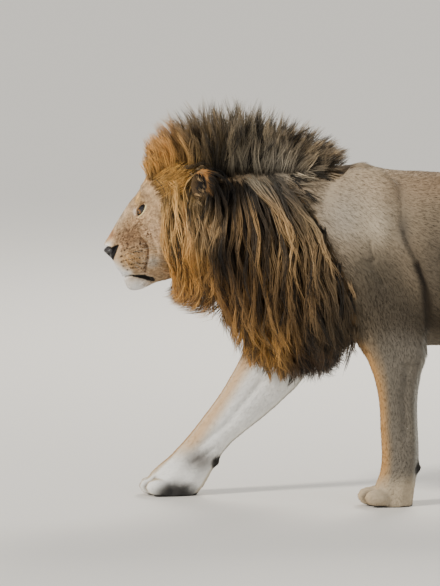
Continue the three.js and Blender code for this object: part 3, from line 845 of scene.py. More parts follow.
def coatTones(points, normals, v=toneValues, span=spanValues):
    x, y, z = points.T
    near = np.abs(y)
    tones = np.tile(np.array(v["trunk"], float), (len(points), 1))

    def paint(tone, share):
        # puts a tone, or the tone of this name, over what is there
        nonlocal tones
        tones = painted(tones, v[tone] if isinstance(tone, str) else tone, share)

    # painted shade, darker towards the bottom and on the underside
    paint("lowFlank", 1 - ease(z, *span["lowFlank"]))
    paint("belly", ease(-normals[:, 2], *span["under"]) * (z > 0.4))
    for tone, at, reach, side, strength in v["bodyPatches"].values():
        paint(tone, bell(x, z, at, reach) * strength * (y * side >= 0))
    # painted shade in the folds behind the arms and along the arms' rear edges
    for fold in ("behindArmLeft", "behindArmRight"):
        line, side, *_ = bodyValues["folds"][fold]
        paint("creaseShade", 0.85 * lineBell(points[:, [0, 2]], line, 0.009) * (y * side > 0) * (near > 0.1))
    for behind, sameSide in behindEdges(x, y, z):
        shade = np.exp(-((behind - 0.010) / 0.013) ** 2) * ease(z, *span["edgeFoot"])
        paint("creaseShade", 0.22 * shade * (1 - ease(z, *span["edgeTop"])) * sameSide)

    tail = (x > wholeTail["x"]) & (y > wholeTail["y"][0]) & (y < wholeTail["y"][1])
    inner = ease(-np.sign(y) * normals[:, 1], *span["inner"]) * ~tail
    leg = (1 - ease(z, *span["leg"])) * ~tail
    # the legs' outsides are darkened and their fronts lightened, partly as painted shade and painted highlight
    paint("legOutside", leg * 0.9)
    paint("hindLeg", leg * (x > 0.2) * 0.9)
    paint("legRear", leg * ease(normals[:, 0], *span["legRear"]) * np.where(x < 0.2, 0.7, 0.2))
    paint("legFront", leg * ease(-normals[:, 0], *span["legFront"]) * 0.85)
    paint("legInside", (1 - ease(z, *span["legInside"])) * inner * 0.75)
    paint("paw", (1 - ease(z, *span["paw"])) * 0.85)

    reaching = (y > 0) * (x < -0.25) * (1 - ease(z, *span["reaching"])) * inner
    edge = nearLine(points[:, [0, 2]], reachValues["edge"])
    paint("reachInside", reaching)
    paint("reachEdge", reaching * (1 - ease(edge, *reachValues["edgeWidth"])) * ease(z, *span["reachPaw"]))
    # painted shade at the wrist of the reaching foreleg
    paint("reachWristShade", reaching * bell(x, z, *reachValues["wrist"]) * 0.85)
    (heelX, heelZ), (reachX, reachZ) = reachValues["heel"]
    heel = np.exp(-(((x - heelX) / reachX) ** 2 + ((z - heelZ) / reachZ) ** 2) ** 2)
    paint("pads", reaching * heel * 0.92)
    # painted shade in the gaps between the toes
    for cut in toeCuts(x, y, z, span["toes"], 0.8):
        paint("toeGap", 0.8 * cut)
    for side, (wristX, middleY, wristZ) in wristPads.items():
        away = np.linalg.norm(np.stack([x - wristX, (near - middleY) * 0.6, z - wristZ]), axis=0)
        paint("pads", (1 - ease(away, *span["wristPad"])) * (y * side > 0))
    paint("pads", (1 - ease(z, *span["sole"])) * ease(-normals[:, 2], *span["soleTurn"]))

    face = faceShare(points)
    places = headPlaces(points)
    forward, up, out = places.T
    paint("face", face)
    for tone, at, reach, strength in v["facePatches"].values():
        away = (((places - np.array(at)) / np.array(reach)) ** 2).sum(1)
        paint(tone, strength * np.exp(-away ** 1.5) * face)
    mottle = noiseAt(points, 0.016, 11.0) + 0.6 * noiseAt(points, 0.007, 13.0)
    tones = tones * (1 + 0.20 * mottle * face * (1 - ease(forward, *span["noseSkin"])))[:, None]
    toMane = (1 - ease(beforeMane(places), *span["cheekMane"])) * ease(out, *span["cheekOut"])
    paint("cheekMane", 0.6 * toMane * face)
    (middle, height), (reach, rise) = muzzleValues["middle"], muzzleValues["reach"]
    muzzleSide = np.exp(-((forward - middle) / reach) ** 4 - ((up - height) / rise) ** 4)
    flecks = {}
    for name, (size, seed, shown) in fleckValues.items():
        flecks[name] = ease(noiseAt(points, size, seed), *shown)
    thick = flecks["muzzle"] * (0.5 + flecks["thick"])
    paint("fleck", 0.85 * thick * muzzleSide * ease(out, *span["muzzleOut"]) * face)
    paint("fleck", 0.34 * flecks["rest"] * face * (forward < span["noseSkin"][0]))
    onPad = (face > 0.5) & (forward > 215) & (forward < 322) & (up < 62) & (out > 22)
    spotGap = np.full(len(points), np.inf)
    away = np.linalg.norm(places[onPad, None, :2] - spotPlaces[None, :, :2], axis=2)
    spotGap[onPad] = (away - spotPlaces[None, :, 2] / 2).min(1)
    paint("spot", 0.95 * (1 - ease(spotGap, 0, spotValues["soft"])))
    # painted shade in the fold behind the whisker pad
    behindPad = lineBell(places[:, :2], faceValues["folds"]["padRear"][0], 3.4)
    paint("padFoldShade", 0.75 * behindPad * face * (out > 30))
    mouth = nearLine(places[:, :2], faceValues["folds"]["mouth"][0])
    lipWidth = 1.0 + 5.5 * (1 - ease(forward, *span["lipNarrows"])) + 3.0 * noiseAt(points, 0.006, 9.0)
    lipShare = (1 - ease(mouth - lipWidth, 0, 3.0)) * (1 - 0.8 * ease(forward, *span["lipFades"]))
    paint("lipLine", lipShare * face * ease(out, *span["lipOut"]))
    # the nostril's wing is a triangle, under a nearly level line and above a slanting one
    (top, slope), ((tip, low), steepness) = noseWing["top"], noseWing["low"]
    behind = forward - noseWing["rear"]
    wing = np.minimum(top + slope * behind - up, up - low - (tip - forward) * steepness)
    wing = np.minimum(wing, behind)
    paint("nostril", ease(wing, *noseWing["soft"]) * face * (out > noseWing["middle"]))
    gap, _, high, _, distance = lidPlaces(places, eyeValues)
    nearEye = (distance < 44) * face
    lid = ease(gap, *span["lidInner"]) * (1 - ease(gap, *span["lidOuter"])) * nearEye
    paint("lowerLid", 0.95 * lid * ease(-high, *span["lidCorner"]))
    # painted shade on the upper lid under the brow
    paint("upperLidShade", 0.7 * lid * ease(high, *span["lidCorner"]))
    paint("eyeRim", (1 - ease(gap, *span["eyeRim"])) * nearEye)

    ear = (fromEar(points, earValues["reach"]) < 1.25) & (near > earValues["inner"])
    hollowX, hollowY, hollowZ = earValues["hollow"]
    hollow = np.linalg.norm(np.stack([x - hollowX, near - hollowY, z - hollowZ], 1), axis=1)
    paint("earRim", ear * 1.0)
    paint("earBack", ear * ease(normals[:, 0], *span["earBack"]))
    # painted shade in the ear's hollow
    paint("earInsideShade", ear * (1 - ease(hollow, *span["earHollow"])))
    paint("tailBrush", ease(x, *span["tailBrush"]) * (z < 0.42) * (near < 0.06) * (z > 0.12))
    return tones


def hairTone(piece, tones):
    layer = piece.data.attributes.new("tone", "FLOAT_COLOR", "POINT")
    values = np.ones((len(tones), 4), np.float32)
    values[:, :3] = linear(tones)
    layer.data.foreach_set("color", values.ravel())


skinPoints, skinNormals = pointsOf(skin), normalsOf(skin)
skinTones = coatTones(skinPoints, skinNormals)
maneGap = nearManeShape(skinPoints)
# the skin under the mane is painted dark as the shade among the roots of the long hair
covered = (1 - ease(maneGap, 0.012, 0.03)) * (1 - faceShare(skinPoints))
skinTones = painted(skinTones, toneValues["underManeShade"], covered)
parting = bell(skinPoints[:, 0], skinPoints[:, 2], (-0.46, 1.03), (0.12, 0.05))
skinTones = painted(skinTones, toneValues["parting"], covered * parting)
hairTone(skin, skinTones)
report("skin has its tones")


def makeCoatGroup():
    # varies a tone in patches and in fine specks, and gives a height for the bump
    group = bpy.data.node_groups.new("coatVariation", "ShaderNodeTree")
    sockets = [("Tone", "INPUT", "Color"), ("Color", "OUTPUT", "Color"), ("Height", "OUTPUT", "Float")]
    sockets += [(f"{kind} {what}", "INPUT", "Float") for kind in ("Patch", "Speck") for what in ("Size", "Amount")]
    for name, way, kind in sockets:
        group.interface.new_socket(name, in_out=way, socket_type=f"NodeSocket{kind}")
    nodes, links = group.nodes, group.links
    inward = nodes.new("NodeGroupInput")
    outward = nodes.new("NodeGroupOutput")
    where = nodes.new("ShaderNodeTexCoord")

    def grain(kind, detail):
        # noise that varies around 1
        texture = newNode(nodes, "ShaderNodeTexNoise", Detail=detail)
        links.new(where.outputs["Object"], texture.inputs["Vector"])
        links.new(inward.outputs[f"{kind} Size"], texture.inputs["Scale"])
        centred = newNode(nodes, "ShaderNodeMath", "SUBTRACT")
        centred.inputs[1].default_value = 0.5
        links.new(texture.outputs["Fac"], centred.inputs[0])
        scaled = newNode(nodes, "ShaderNodeMath", "MULTIPLY_ADD")
        scaled.inputs[2].default_value = 1.0
        links.new(centred.outputs[0], scaled.inputs[0])
        links.new(inward.outputs[f"{kind} Amount"], scaled.inputs[1])
        return texture, scaled

    _, patches = grain("Patch", 2.0)
    speckTexture, specks = grain("Speck", 3.0)
    both = newNode(nodes, "ShaderNodeMath", "MULTIPLY")
    links.new(patches.outputs[0], both.inputs[0])
    links.new(specks.outputs[0], both.inputs[1])
    shade = newNode(nodes, "ShaderNodeVectorMath", "SCALE")
    links.new(inward.outputs["Tone"], shade.inputs[0])
    links.new(both.outputs[0], shade.inputs["Scale"])
    links.new(shade.outputs[0], outward.inputs["Color"])
    links.new(speckTexture.outputs["Fac"], outward.inputs["Height"])
    return group


coatGroup = makeCoatGroup()


def coatMaterial(name, v):
    settings = {"Roughness": v["roughness"], "Specular IOR Level": v["specular"]}
    material, nodes, links, shader = newMaterial(name, settings)
    tone = nodes.new("ShaderNodeAttribute")
    tone.attribute_name = "tone"
    coat = nodes.new("ShaderNodeGroup")
    coat.node_tree = coatGroup
    for key, value in v["coat"].items():
        coat.inputs[key].default_value = value
    links.new(tone.outputs["Color"], coat.inputs["Tone"])
    links.new(coat.outputs["Color"], shader.inputs["Base Color"])
    if v["bump"]:
        bump = newNode(nodes, "ShaderNodeBump", Strength=v["bump"], Distance=0.003)
        links.new(coat.outputs["Height"], bump.inputs["Height"])
        links.new(bump.outputs["Normal"], shader.inputs["Normal"])
    return material


skinFinish = {
    "roughness": 0.8, "specular": 0.2, "bump": 0.3,
    "coat": {"Patch Size": 9.0, "Patch Amount": 0.25, "Speck Size": 260.0, "Speck Amount": 0.25},
}
skin.data.materials.clear()
skin.data.materials.append(coatMaterial("skin", skinFinish))


def eyeMaterial(name, front, v):
    # painted outwards from the pupil, with streaks
    settings = {"Roughness": 0.06, "Coat Weight": 0.8, "Coat Roughness": 0.02}
    material, nodes, links, shader = newMaterial(name, settings)
    where = nodes.new("ShaderNodeTexCoord")
    away = newNode(nodes, "ShaderNodeVectorMath", "DISTANCE")
    away.inputs[1].default_value = front
    links.new(where.outputs["Object"], away.inputs[0])
    ramp = newNode(nodes, "ShaderNodeMapRange", From_Max=v["rampReach"] / 1000)
    links.new(away.outputs["Value"], ramp.inputs["Value"])
    colours = nodes.new("ShaderNodeValToRGB")
    stops = [(v["pupil"] - 0.4, "pupilTone"), (v["pupil"] + 0.4, "innerTone")]
    stops += [(v["iris"] * 0.7, "irisTone"), (v["iris"] - 0.9, "irisTone"), (v["iris"] + 0.4, "whiteTone")]
    while len(colours.color_ramp.elements) < len(stops):
        colours.color_ramp.elements.new(1.0)
    for element, (reach, tone) in zip(colours.color_ramp.elements, stops):
        element.position = reach / v["rampReach"]
        element.color = (*linear(v[tone]), 1)
    links.new(ramp.outputs["Result"], colours.inputs["Fac"])
    streaks = newNode(nodes, "ShaderNodeTexNoise", Scale=700)
    links.new(where.outputs["Object"], streaks.inputs["Vector"])
    mix = nodes.new("ShaderNodeMix")
    mix.data_type = "RGBA"
    mix.blend_type = "OVERLAY"
    mix.inputs["Factor"].default_value = 0.35
    links.new(colours.outputs["Color"], mix.inputs["A"])
    links.new(streaks.outputs["Color"], mix.inputs["B"])
    links.new(mix.outputs["Result"], shader.inputs["Base Color"])
    return material


def makeEye(side, v):
    # a ball with a clear bulge over the iris
    places = np.array([v["centre"]], float)
    centre = fromHead(places, side)[0]
    look = unit(headTurn([v["gaze"]], side)[0])
    bpy.ops.object.select_all(action="DESELECT")
    bpy.ops.mesh.primitive_uv_sphere_add(segments=48, ring_count=32, radius=v["radius"] / 1000)
    eye = bpy.context.object
    eye.name = f"eyeball_{'left' if side < 0 else 'right'}"
    turn = Vector((0, 0, 1)).rotation_difference(Vector(look)).to_matrix()
    eye.data.transform(turn.to_4x4())
    points = pointsOf(eye)
    facing = unit(points) @ look
    bulge = ease(facing, math.cos(math.radians(v["bulgeAngle"])), 1) * v["bulge"] / 1000
    setPoints(eye, points + unit(points) * bulge[:, None] + centre)
    only(eye)
    bpy.ops.object.shade_smooth()
    eye.data.materials.append(eyeMaterial(eye.name, centre + look * v["radius"] / 1000, v))
    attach(eye, "root")
    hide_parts(eyeNodes[0] if side < 0 else eyeNodes[1])


for side in (-1.0, 1.0):
    makeEye(side, eyeValues)
report("eyes")

noseValues = {
    "voxel": 0.0022,
    "evening": 10,
    "push": (-2, -9),  # forward and up, from the plain solid
    "middle": (306, 57),
    "fuller": (1.35, 1.36),  # forward and up, before it is cut flat
    "front": ((331, 37), 0.24, 0.010),  # its low end, how far the top leads, and how far the sides draw back
    "top": 83,
    "narrow": 0.55,  # its width at the lip
    "nostril": ([(341, 50), (338, 60), (328, 62), (312, 58)], 10.0, 3.6),
    "nostrilSide": (11, 30),
    "groove": (3.5, 2.6),
    "tone": (38, 33, 31),
    "roughness": 0.42,
}


def makeNose(v):
    nose = evenMesh(["nose"], "noseLeather", v["voxel"])
    points = evened(pointsOf(nose), edgesOf(nose), v["evening"])
    places = headPlaces(points)
    places[:, :2] += v["push"]
    places[:, :2] = np.array(v["middle"]) + (places[:, :2] - np.array(v["middle"])) * np.array(v["fuller"])
    (frontAt, frontLow), lead, drawn = v["front"]
    limit = frontAt + lead * (places[:, 1] - frontLow) - drawn * places[:, 2] ** 2
    places[:, 0] -= np.logaddexp(0, (places[:, 0] - limit) / 2.0) * 2.0
    places[:, 1] -= np.logaddexp(0, (places[:, 1] - v["top"]) / 1.5) * 1.5
    # the leather narrows downwards to the groove of the lip
    places[:, 2] *= v["narrow"] + (1 - v["narrow"]) * ease(places[:, 1], 30, 62)
    setPoints(nose, fromHead(places, sidesOf(points)))
    points, normals = pointsOf(nose), normalsOf(nose)
    line, depth, width = v["nostril"]
    low, high = v["nostrilSide"]
    sideways = np.exp(-((places[:, 2] - (low + high) / 2) / ((high - low) / 2)) ** 4)
    hole = lineBell(places[:, :2], line, width) * sideways
    grooveDepth, grooveWidth = v["groove"]
    groove = np.exp(-(places[:, 2] / grooveWidth) ** 2) * grooveDepth
    setPoints(nose, points - normals * ((hole * depth + groove) / 1000)[:, None])
    settings = {"Base Color": (*linear(v["tone"]), 1), "Roughness": v["roughness"]}
    material, nodes, links, shader = newMaterial("noseLeather", settings)
    cells = newNode(nodes, "ShaderNodeTexVoronoi", Scale=620)
    bump = newNode(nodes, "ShaderNodeBump", Strength=0.35, Distance=0.001)
    links.new(nodes.new("ShaderNodeTexCoord").outputs["Object"], cells.inputs["Vector"])
    links.new(cells.outputs["Distance"], bump.inputs["Height"])
    links.new(bump.outputs["Normal"], shader.inputs["Normal"])
    nose.data.materials.append(material)
    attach(nose, "root")
    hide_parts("nose")


makeNose(noseValues)
report("nose")


def spreadOver(piece, count, share):
    # places strewn evenly over the faces whose share is above 0, more of them where it is high
    mesh = piece.data
    mesh.calc_loop_triangles()
    corners = valuesOf(mesh.loop_triangles, "vertices", 3, np.int32)
    loops = valuesOf(mesh.loop_triangles, "loops", 3, np.int32)
    uv = valuesOf(mesh.uv_layers["OFBake"].uv, "vector", 2)[loops]
    points, normals = pointsOf(piece), normalsOf(piece)
    p = points[corners]
    area = np.linalg.norm(np.cross(p[:, 1] - p[:, 0], p[:, 2] - p[:, 0]), axis=1) / 2
    weight = area * share[corners].mean(1)
    wanted = (np.arange(count) + dice.random(count)) / count
    chosen = np.searchsorted(np.cumsum(weight) / weight.sum(), wanted)
    chosen = np.minimum(chosen, len(corners) - 1)
    a, b = dice.random((2, count))
    flip = a + b > 1
    a, b = np.where(flip, 1 - a, a), np.where(flip, 1 - b, b)
    mix = np.stack([1 - a - b, a, b], 1)[:, :, None]
    roots = (p[chosen] * mix).sum(1)
    return roots, unit((normals[corners[chosen]] * mix).sum(1)), (uv[chosen] * mix).sum(1)


def meshFrom(name, points, triangles, tones, uvs):
    # a piece of the coat, with a tone and a place on the unwrap for each of its points
    mesh = bpy.data.meshes.new(name)
    mesh.vertices.add(len(points))
    mesh.vertices.foreach_set("co", points.astype(np.float32).ravel())
    mesh.loops.add(len(triangles) * 3)
    mesh.loops.foreach_set("vertex_index", triangles.astype(np.int32).ravel())
    mesh.polygons.add(len(triangles))
    mesh.polygons.foreach_set("loop_start", np.arange(0, len(triangles) * 3, 3, dtype=np.int32))
    mesh.polygons.foreach_set("use_smooth", np.ones(len(triangles), bool))
    mesh.update(calc_edges=True)
    layer = mesh.uv_layers.new(name="OFBake")
    layer.uv.foreach_set("vector", uvs[triangles.ravel()].astype(np.float32).ravel())
    piece = bpy.data.objects.new(name, mesh)
    bpy.context.scene.collection.objects.link(piece)
    hairTone(piece, tones)
    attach(piece, "root")
    return piece


coatValues = {"patch": 0.003, "most": 195000, "brightest": 232, "flatness": 0.6}


def coatPieces(name, points, triangles, tones, patches, uvs, material):
    # many tufts or strands of one build, in pieces that each stay below the most triangles
    count, each = points.shape[:2]
    uvs = uvs[:, None] + patches[None] * coatValues["patch"]
    most = coatValues["most"] // len(triangles)
    pieces = []
    for part, start in enumerate(range(0, count, most)):
        stop = min(start + most, count)
        shifted = triangles[None] + (np.arange(stop - start) * each)[:, None, None]
        fields = [values[start:stop].reshape(-1, values.shape[2]) for values in (points, tones, uvs)]
        piece = meshFrom(f"{name}_{part + 1}", fields[0], shifted.reshape(-1, 3), fields[1], fields[2])
        piece.data.materials.append(material)
        pieces.append(piece)
    report(f"{name}, {count} tufts, {count * len(triangles)} triangles in {len(pieces)} pieces")
    return pieces


def strandPieces(name, paths, widths, ups, tones, roots, material, replaced=()):
    # each path becomes a three-sided strand that narrows to its tip
    count, steps = paths.shape[:2]
    tangents = unit(np.gradient(paths, axis=1))
    sideways = unit(np.cross(tangents, ups[:, None, :]))
    above = np.cross(sideways, tangents)
    rings = []
    for turn in (90, 210, 330):
        angle = math.radians(turn)
        turned = math.cos(angle) * sideways + coatValues["flatness"] * math.sin(angle) * above
        rings.append(paths[:, :-1] + turned[:, :-1] * widths[:, :-1, None] / 2)
    points = np.stack(rings, 2).reshape(count, -1, 3)
    points = np.concatenate([points, paths[:, -1:]], 1)
    triangles = [(0, 2, 1)]
    for step in range(steps - 2):
        for k in range(3):
            a, b = 3 * step + k, 3 * step + (k + 1) % 3
            triangles += [(a, b, b + 3), (a, b + 3, a + 3)]
    last = 3 * (steps - 2)
    triangles += [(last + k, last + (k + 1) % 3, last + 3) for k in range(3)]
    triangles = np.array(triangles)
    ringTones = np.repeat(tones[:, :-1], 3, axis=1)
    pointTones = np.concatenate([ringTones, tones[:, -1:]], 1)
    along = np.concatenate([np.repeat(np.arange(steps - 1), 3), [steps - 1]]) / (steps - 1)
    across = np.concatenate([np.tile([-0.5, 0, 0.5], steps - 1), [0]])
    patches = np.stack([across, along - 0.5], 1)
    pieces = coatPieces(name, points, triangles, pointTones, patches, roots, material)
    if replaced:
        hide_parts(*replaced)


def blended(x, z, patches):
    # the mean of named values, each weighing most at its own place and within its own reach
    total = np.zeros((len(x), len(next(iter(patches.values()))[2])))
    sums = np.zeros(len(x))
    for (atX, atZ), reach, value in patches.values():
        weight = np.exp(-((x - atX) ** 2 + (z - atZ) ** 2) / reach ** 2) + 1e-9
        total += weight[:, None] * np.array(value, float)
        sums += weight
    return total / sums[:, None]


# The lie of the long hair, seen from the side: places in x and z, a reach, and a direction in x and z.
# The same goes for its greatest lengths and its tones.
maneValues = {
    "step": 0.016,
    "steps": 27,
    "sway": (0.22, 0.10),  # in the crest and at the sides
    "fan": (0.22, 0.04, 1.6),  # how far the crest leans outwards, over what distance, and its limit
    "bend": 0.65,  # how quickly a lock takes up the lie
    "shortest": 0.03,
    "flow": {
        "browLeft": ((-0.86, 1.03), 0.05, (0.35, -0.6)),
        "templeTop": ((-0.80, 1.05), 0.05, (0.6, -0.3)),
        "cheekTop": ((-0.79, 0.97), 0.05, (0.05, -1)),
        "cheekFront": ((-0.79, 0.86), 0.06, (0.08, -1)),
        "cheekMiddle": ((-0.74, 0.84), 0.06, (-0.06, -1)),
        "cheekLow": ((-0.77, 0.74), 0.06, (0.30, -1)),
        "throat": ((-0.72, 0.68), 0.05, (0.25, -1)),
        "beard": ((-0.69, 0.64), 0.06, (-0.12, -1)),
        "behindEar": ((-0.63, 0.96), 0.06, (-0.10, -1)),
        "neckUpper": ((-0.55, 1.02), 0.06, (0.50, -0.9)),
        "neckMiddle": ((-0.58, 0.84), 0.08, (0.04, -1)),
        "neckLow": ((-0.56, 0.66), 0.08, (0.02, -1)),
        "chestLow": ((-0.55, 0.50), 0.08, (-0.04, -1)),
        "chestMiddle": ((-0.44, 0.55), 0.08, (0.06, -1)),
        "sideUpper": ((-0.46, 0.96), 0.07, (0.55, -0.85)),
        "sideMiddle": ((-0.45, 0.80), 0.08, (0.22, -1)),
        "rearTop": ((-0.36, 1.00), 0.06, (0.85, -0.5)),
        "rearUpper": ((-0.33, 0.88), 0.07, (0.50, -0.85)),
        "rearMiddle": ((-0.29, 0.75), 0.07, (0.32, -1)),
        "rearLow": ((-0.28, 0.60), 0.07, (0.05, -1)),
        "rearTips": ((-0.33, 0.45), 0.08, (-0.10, -1)),
    },
    "crestFlow": {
        "front": ((-0.86, 1.05), 0.06, (-0.15, 0.90)),
        "frontUpper": ((-0.82, 1.14), 0.06, (-0.80, 0.60)),
        "frontTop": ((-0.76, 1.10), 0.06, (-0.40, 1)),
        "top": ((-0.68, 1.08), 0.07, (-0.10, 1)),
        "middle": ((-0.58, 1.08), 0.08, (0.10, 1)),
        "rear": ((-0.46, 1.08), 0.08, (0.35, 0.95)),
        "rearLow": ((-0.37, 1.08), 0.07, (0.75, 0.65)),
        "withers": ((-0.27, 1.08), 0.08, (0.95, 0.30)),
    },
    "longest": {
        "forehead": ((-0.84, 1.05), 0.06, (0.15,)),
        "crest": ((-0.60, 1.10), 0.10, (0.24,)),
        "crestRear": ((-0.36, 1.08), 0.06, (0.15,)),
        "cheek": ((-0.77, 0.95), 0.09, (0.28,)),
        "cheekLow": ((-0.76, 0.78), 0.08, (0.24,)),
        "neck": ((-0.60, 0.90), 0.12, (0.40,)),
        "side": ((-0.42, 0.90), 0.12, (0.38,)),
        "rear": ((-0.32, 0.80), 0.10, (0.30,)),
        "chest": ((-0.50, 0.60), 0.12, (0.30,)),
        "throat": ((-0.66, 0.75), 0.08, (0.27,)),
    },
    "tones": {
        "forehead": ((-0.84, 1.05), 0.060, (206, 156, 84)),
        "crestFront": ((-0.83, 1.14), 0.060, (176, 130, 74)),
        "crestTop": ((-0.72, 1.18), 0.080, (108, 90, 64)),
        "crestMiddle": ((-0.56, 1.17), 0.090, (116, 103, 82)),
        "crestRear": ((-0.40, 1.13), 0.080, (124, 107, 82)),
        "withers": ((-0.28, 1.07), 0.060, (154, 134, 106)),
        "temple": ((-0.79, 0.98), 0.060, (222, 176, 104)),
        "cheekFront": ((-0.79, 0.85), 0.060, (230, 184, 118)),
        "cheekMiddle": ((-0.705, 0.87), 0.055, (164, 136, 98)),
        "cheekLow": ((-0.76, 0.72), 0.060, (184, 136, 70)),
        "beard": ((-0.70, 0.63), 0.060, (186, 140, 80)),
        "behindEar": ((-0.63, 0.96), 0.050, (62, 50, 36)),
        "neckUpper": ((-0.55, 1.055), 0.050, (146, 136, 117)),
        "parting": ((-0.46, 1.062), 0.050, (170, 162, 146)),
        "partingUnder": ((-0.43, 0.970), 0.050, (90, 78, 63)),
        "neckMiddle": ((-0.55, 0.83), 0.080, (124, 98, 64)),
        # painted shade in the recess of the mane behind the cheek
        "recessShade": ((-0.624, 0.79), 0.045, (30, 23, 15)),
        "recessLowShade": ((-0.610, 0.72), 0.040, (52, 39, 25)),
        "neckLow": ((-0.58, 0.66), 0.080, (118, 88, 52)),
        "sideMiddle": ((-0.44, 0.82), 0.080, (138, 112, 76)),
        "sideLow": ((-0.44, 0.64), 0.080, (108, 84, 54)),
        "rearUpper": ((-0.34, 0.90), 0.060, (106, 92, 70)),
        "rearTop": ((-0.37, 1.02), 0.045, (156, 144, 122)),
        "rearMiddle": ((-0.29, 0.74), 0.070, (128, 105, 74)),
        "rearLow": ((-0.28, 0.58), 0.070, (92, 76, 55)),
        "chestTips": ((-0.54, 0.47), 0.080, (176, 132, 70)),
        "rearTips": ((-0.37, 0.42), 0.050, (78, 60, 42)),
    },
}


def maneGuides(roots, normals, crest, v):
    # the middle line of each lock leaves the skin and follows the lie of the hair inside the outline
    count, step, bend = len(roots), v["step"], v["bend"]
    paths = np.empty((count, v["steps"] + 1, 3))
    paths[:, 0] = roots
    lengths = np.zeros(count)
    alive = np.ones(count, bool)
    depth = dice.random(count) ** 0.6  # how near the outside of the mane each lock lies
    longest = blended(roots[:, 0], roots[:, 2], v["longest"])[:, 0] * (0.8 + 0.4 * dice.random(count))
    longest = longest * np.where(crest, 0.72 + 0.36 * dice.random(count), 1)
    sway = np.where(crest[:, None], *v["sway"]) * dice.normal(0, 1, (count, 2))
    lean, over, limit = v["fan"]
    heading = normals.copy()
    for index in range(v["steps"]):
        here = paths[:, index]
        side = blended(here[:, 0], here[:, 2], v["flow"])
        up = blended(here[:, 0], here[:, 2], v["crestFlow"])
        flat = unit(np.where(crest[:, None], up, side) + sway)
        wanted = np.stack([flat[:, 0], np.zeros(count), flat[:, 1]], 1)
        wanted[:, 1] = np.where(crest, lean * np.clip(here[:, 1] / over, -limit, limit), 0)
        moved = here.copy()
        for k in np.flatnonzero(alive):
            near, normal, _, gap = skinTree.find_nearest(Vector(here[k]))
            away = Vector(here[k]) - near
            out = np.array(normal)
            outside = gap if away.dot(normal) > 0 else -gap
            hit = maneTree.ray_cast(Vector(here[k] + out * 0.4), Vector(-out), 0.8)[3]
            room = 0.4 - hit if hit is not None else -0.05
            direction = wanted[k]
            travelled = index * step / longest[k]
            if not crest[k]:
                # along the skin, and drawn to its own layer of the mane
                direction = direction - out * (direction @ out) * 0.9
                direction = direction / max(np.linalg.norm(direction), 0.2)
                layer = (0.25 + 0.75 * depth[k]) * max(outside + room, 0.004)
                target = layer * min(1, 0.15 + 1.3 * travelled) ** 0.7
                direction = direction + out * np.clip((target - outside) / step * 0.5, -0.8, 0.9)
            heading[k] = heading[k] * (1 - bend) + direction * bend
            heading[k] /= max(np.linalg.norm(heading[k]), 1e-6)
            if travelled >= 1 or (index > 3 and room < -0.012 - 0.02 * depth[k]):
                alive[k] = False
                heading[k] *= 0
                continue
            lengths[k] += step
            moved[k] = here[k] + heading[k] * step
        paths[:, index + 1] = moved
    return paths, lengths, depth


def resampled(paths, lengths, step, share, steps):
    # the same lines with a chosen number of places along a share of their length
    where = np.linspace(0, 1, steps)[None] * (lengths * share / step)[:, None]
    low = np.clip(np.floor(where).astype(int), 0, paths.shape[1] - 2)
    mix = (where - low)[:, :, None]
    rows = np.arange(len(paths))[:, None]
    return paths[rows, low] * (1 - mix) + paths[rows, low + 1] * mix


lockValues = {
    "crest": {"locks": 700, "perLock": 14, "steps": 6, "width": 0.0018, "wave": 0.009, "gather": 0.55,
              "radius": 0.015, "darkShare": 0.25, "tones": maneValues["tones"]},
    "side": {"locks": 1560, "perLock": 10, "steps": 8, "width": 0.0024, "wave": 0.012, "gather": 0.76,
             "radius": 0.014, "darkShare": 0.33, "tones": maneValues["tones"]},
}
brightRoots = ((-0.46, 1.060), (0.13, 0.045))


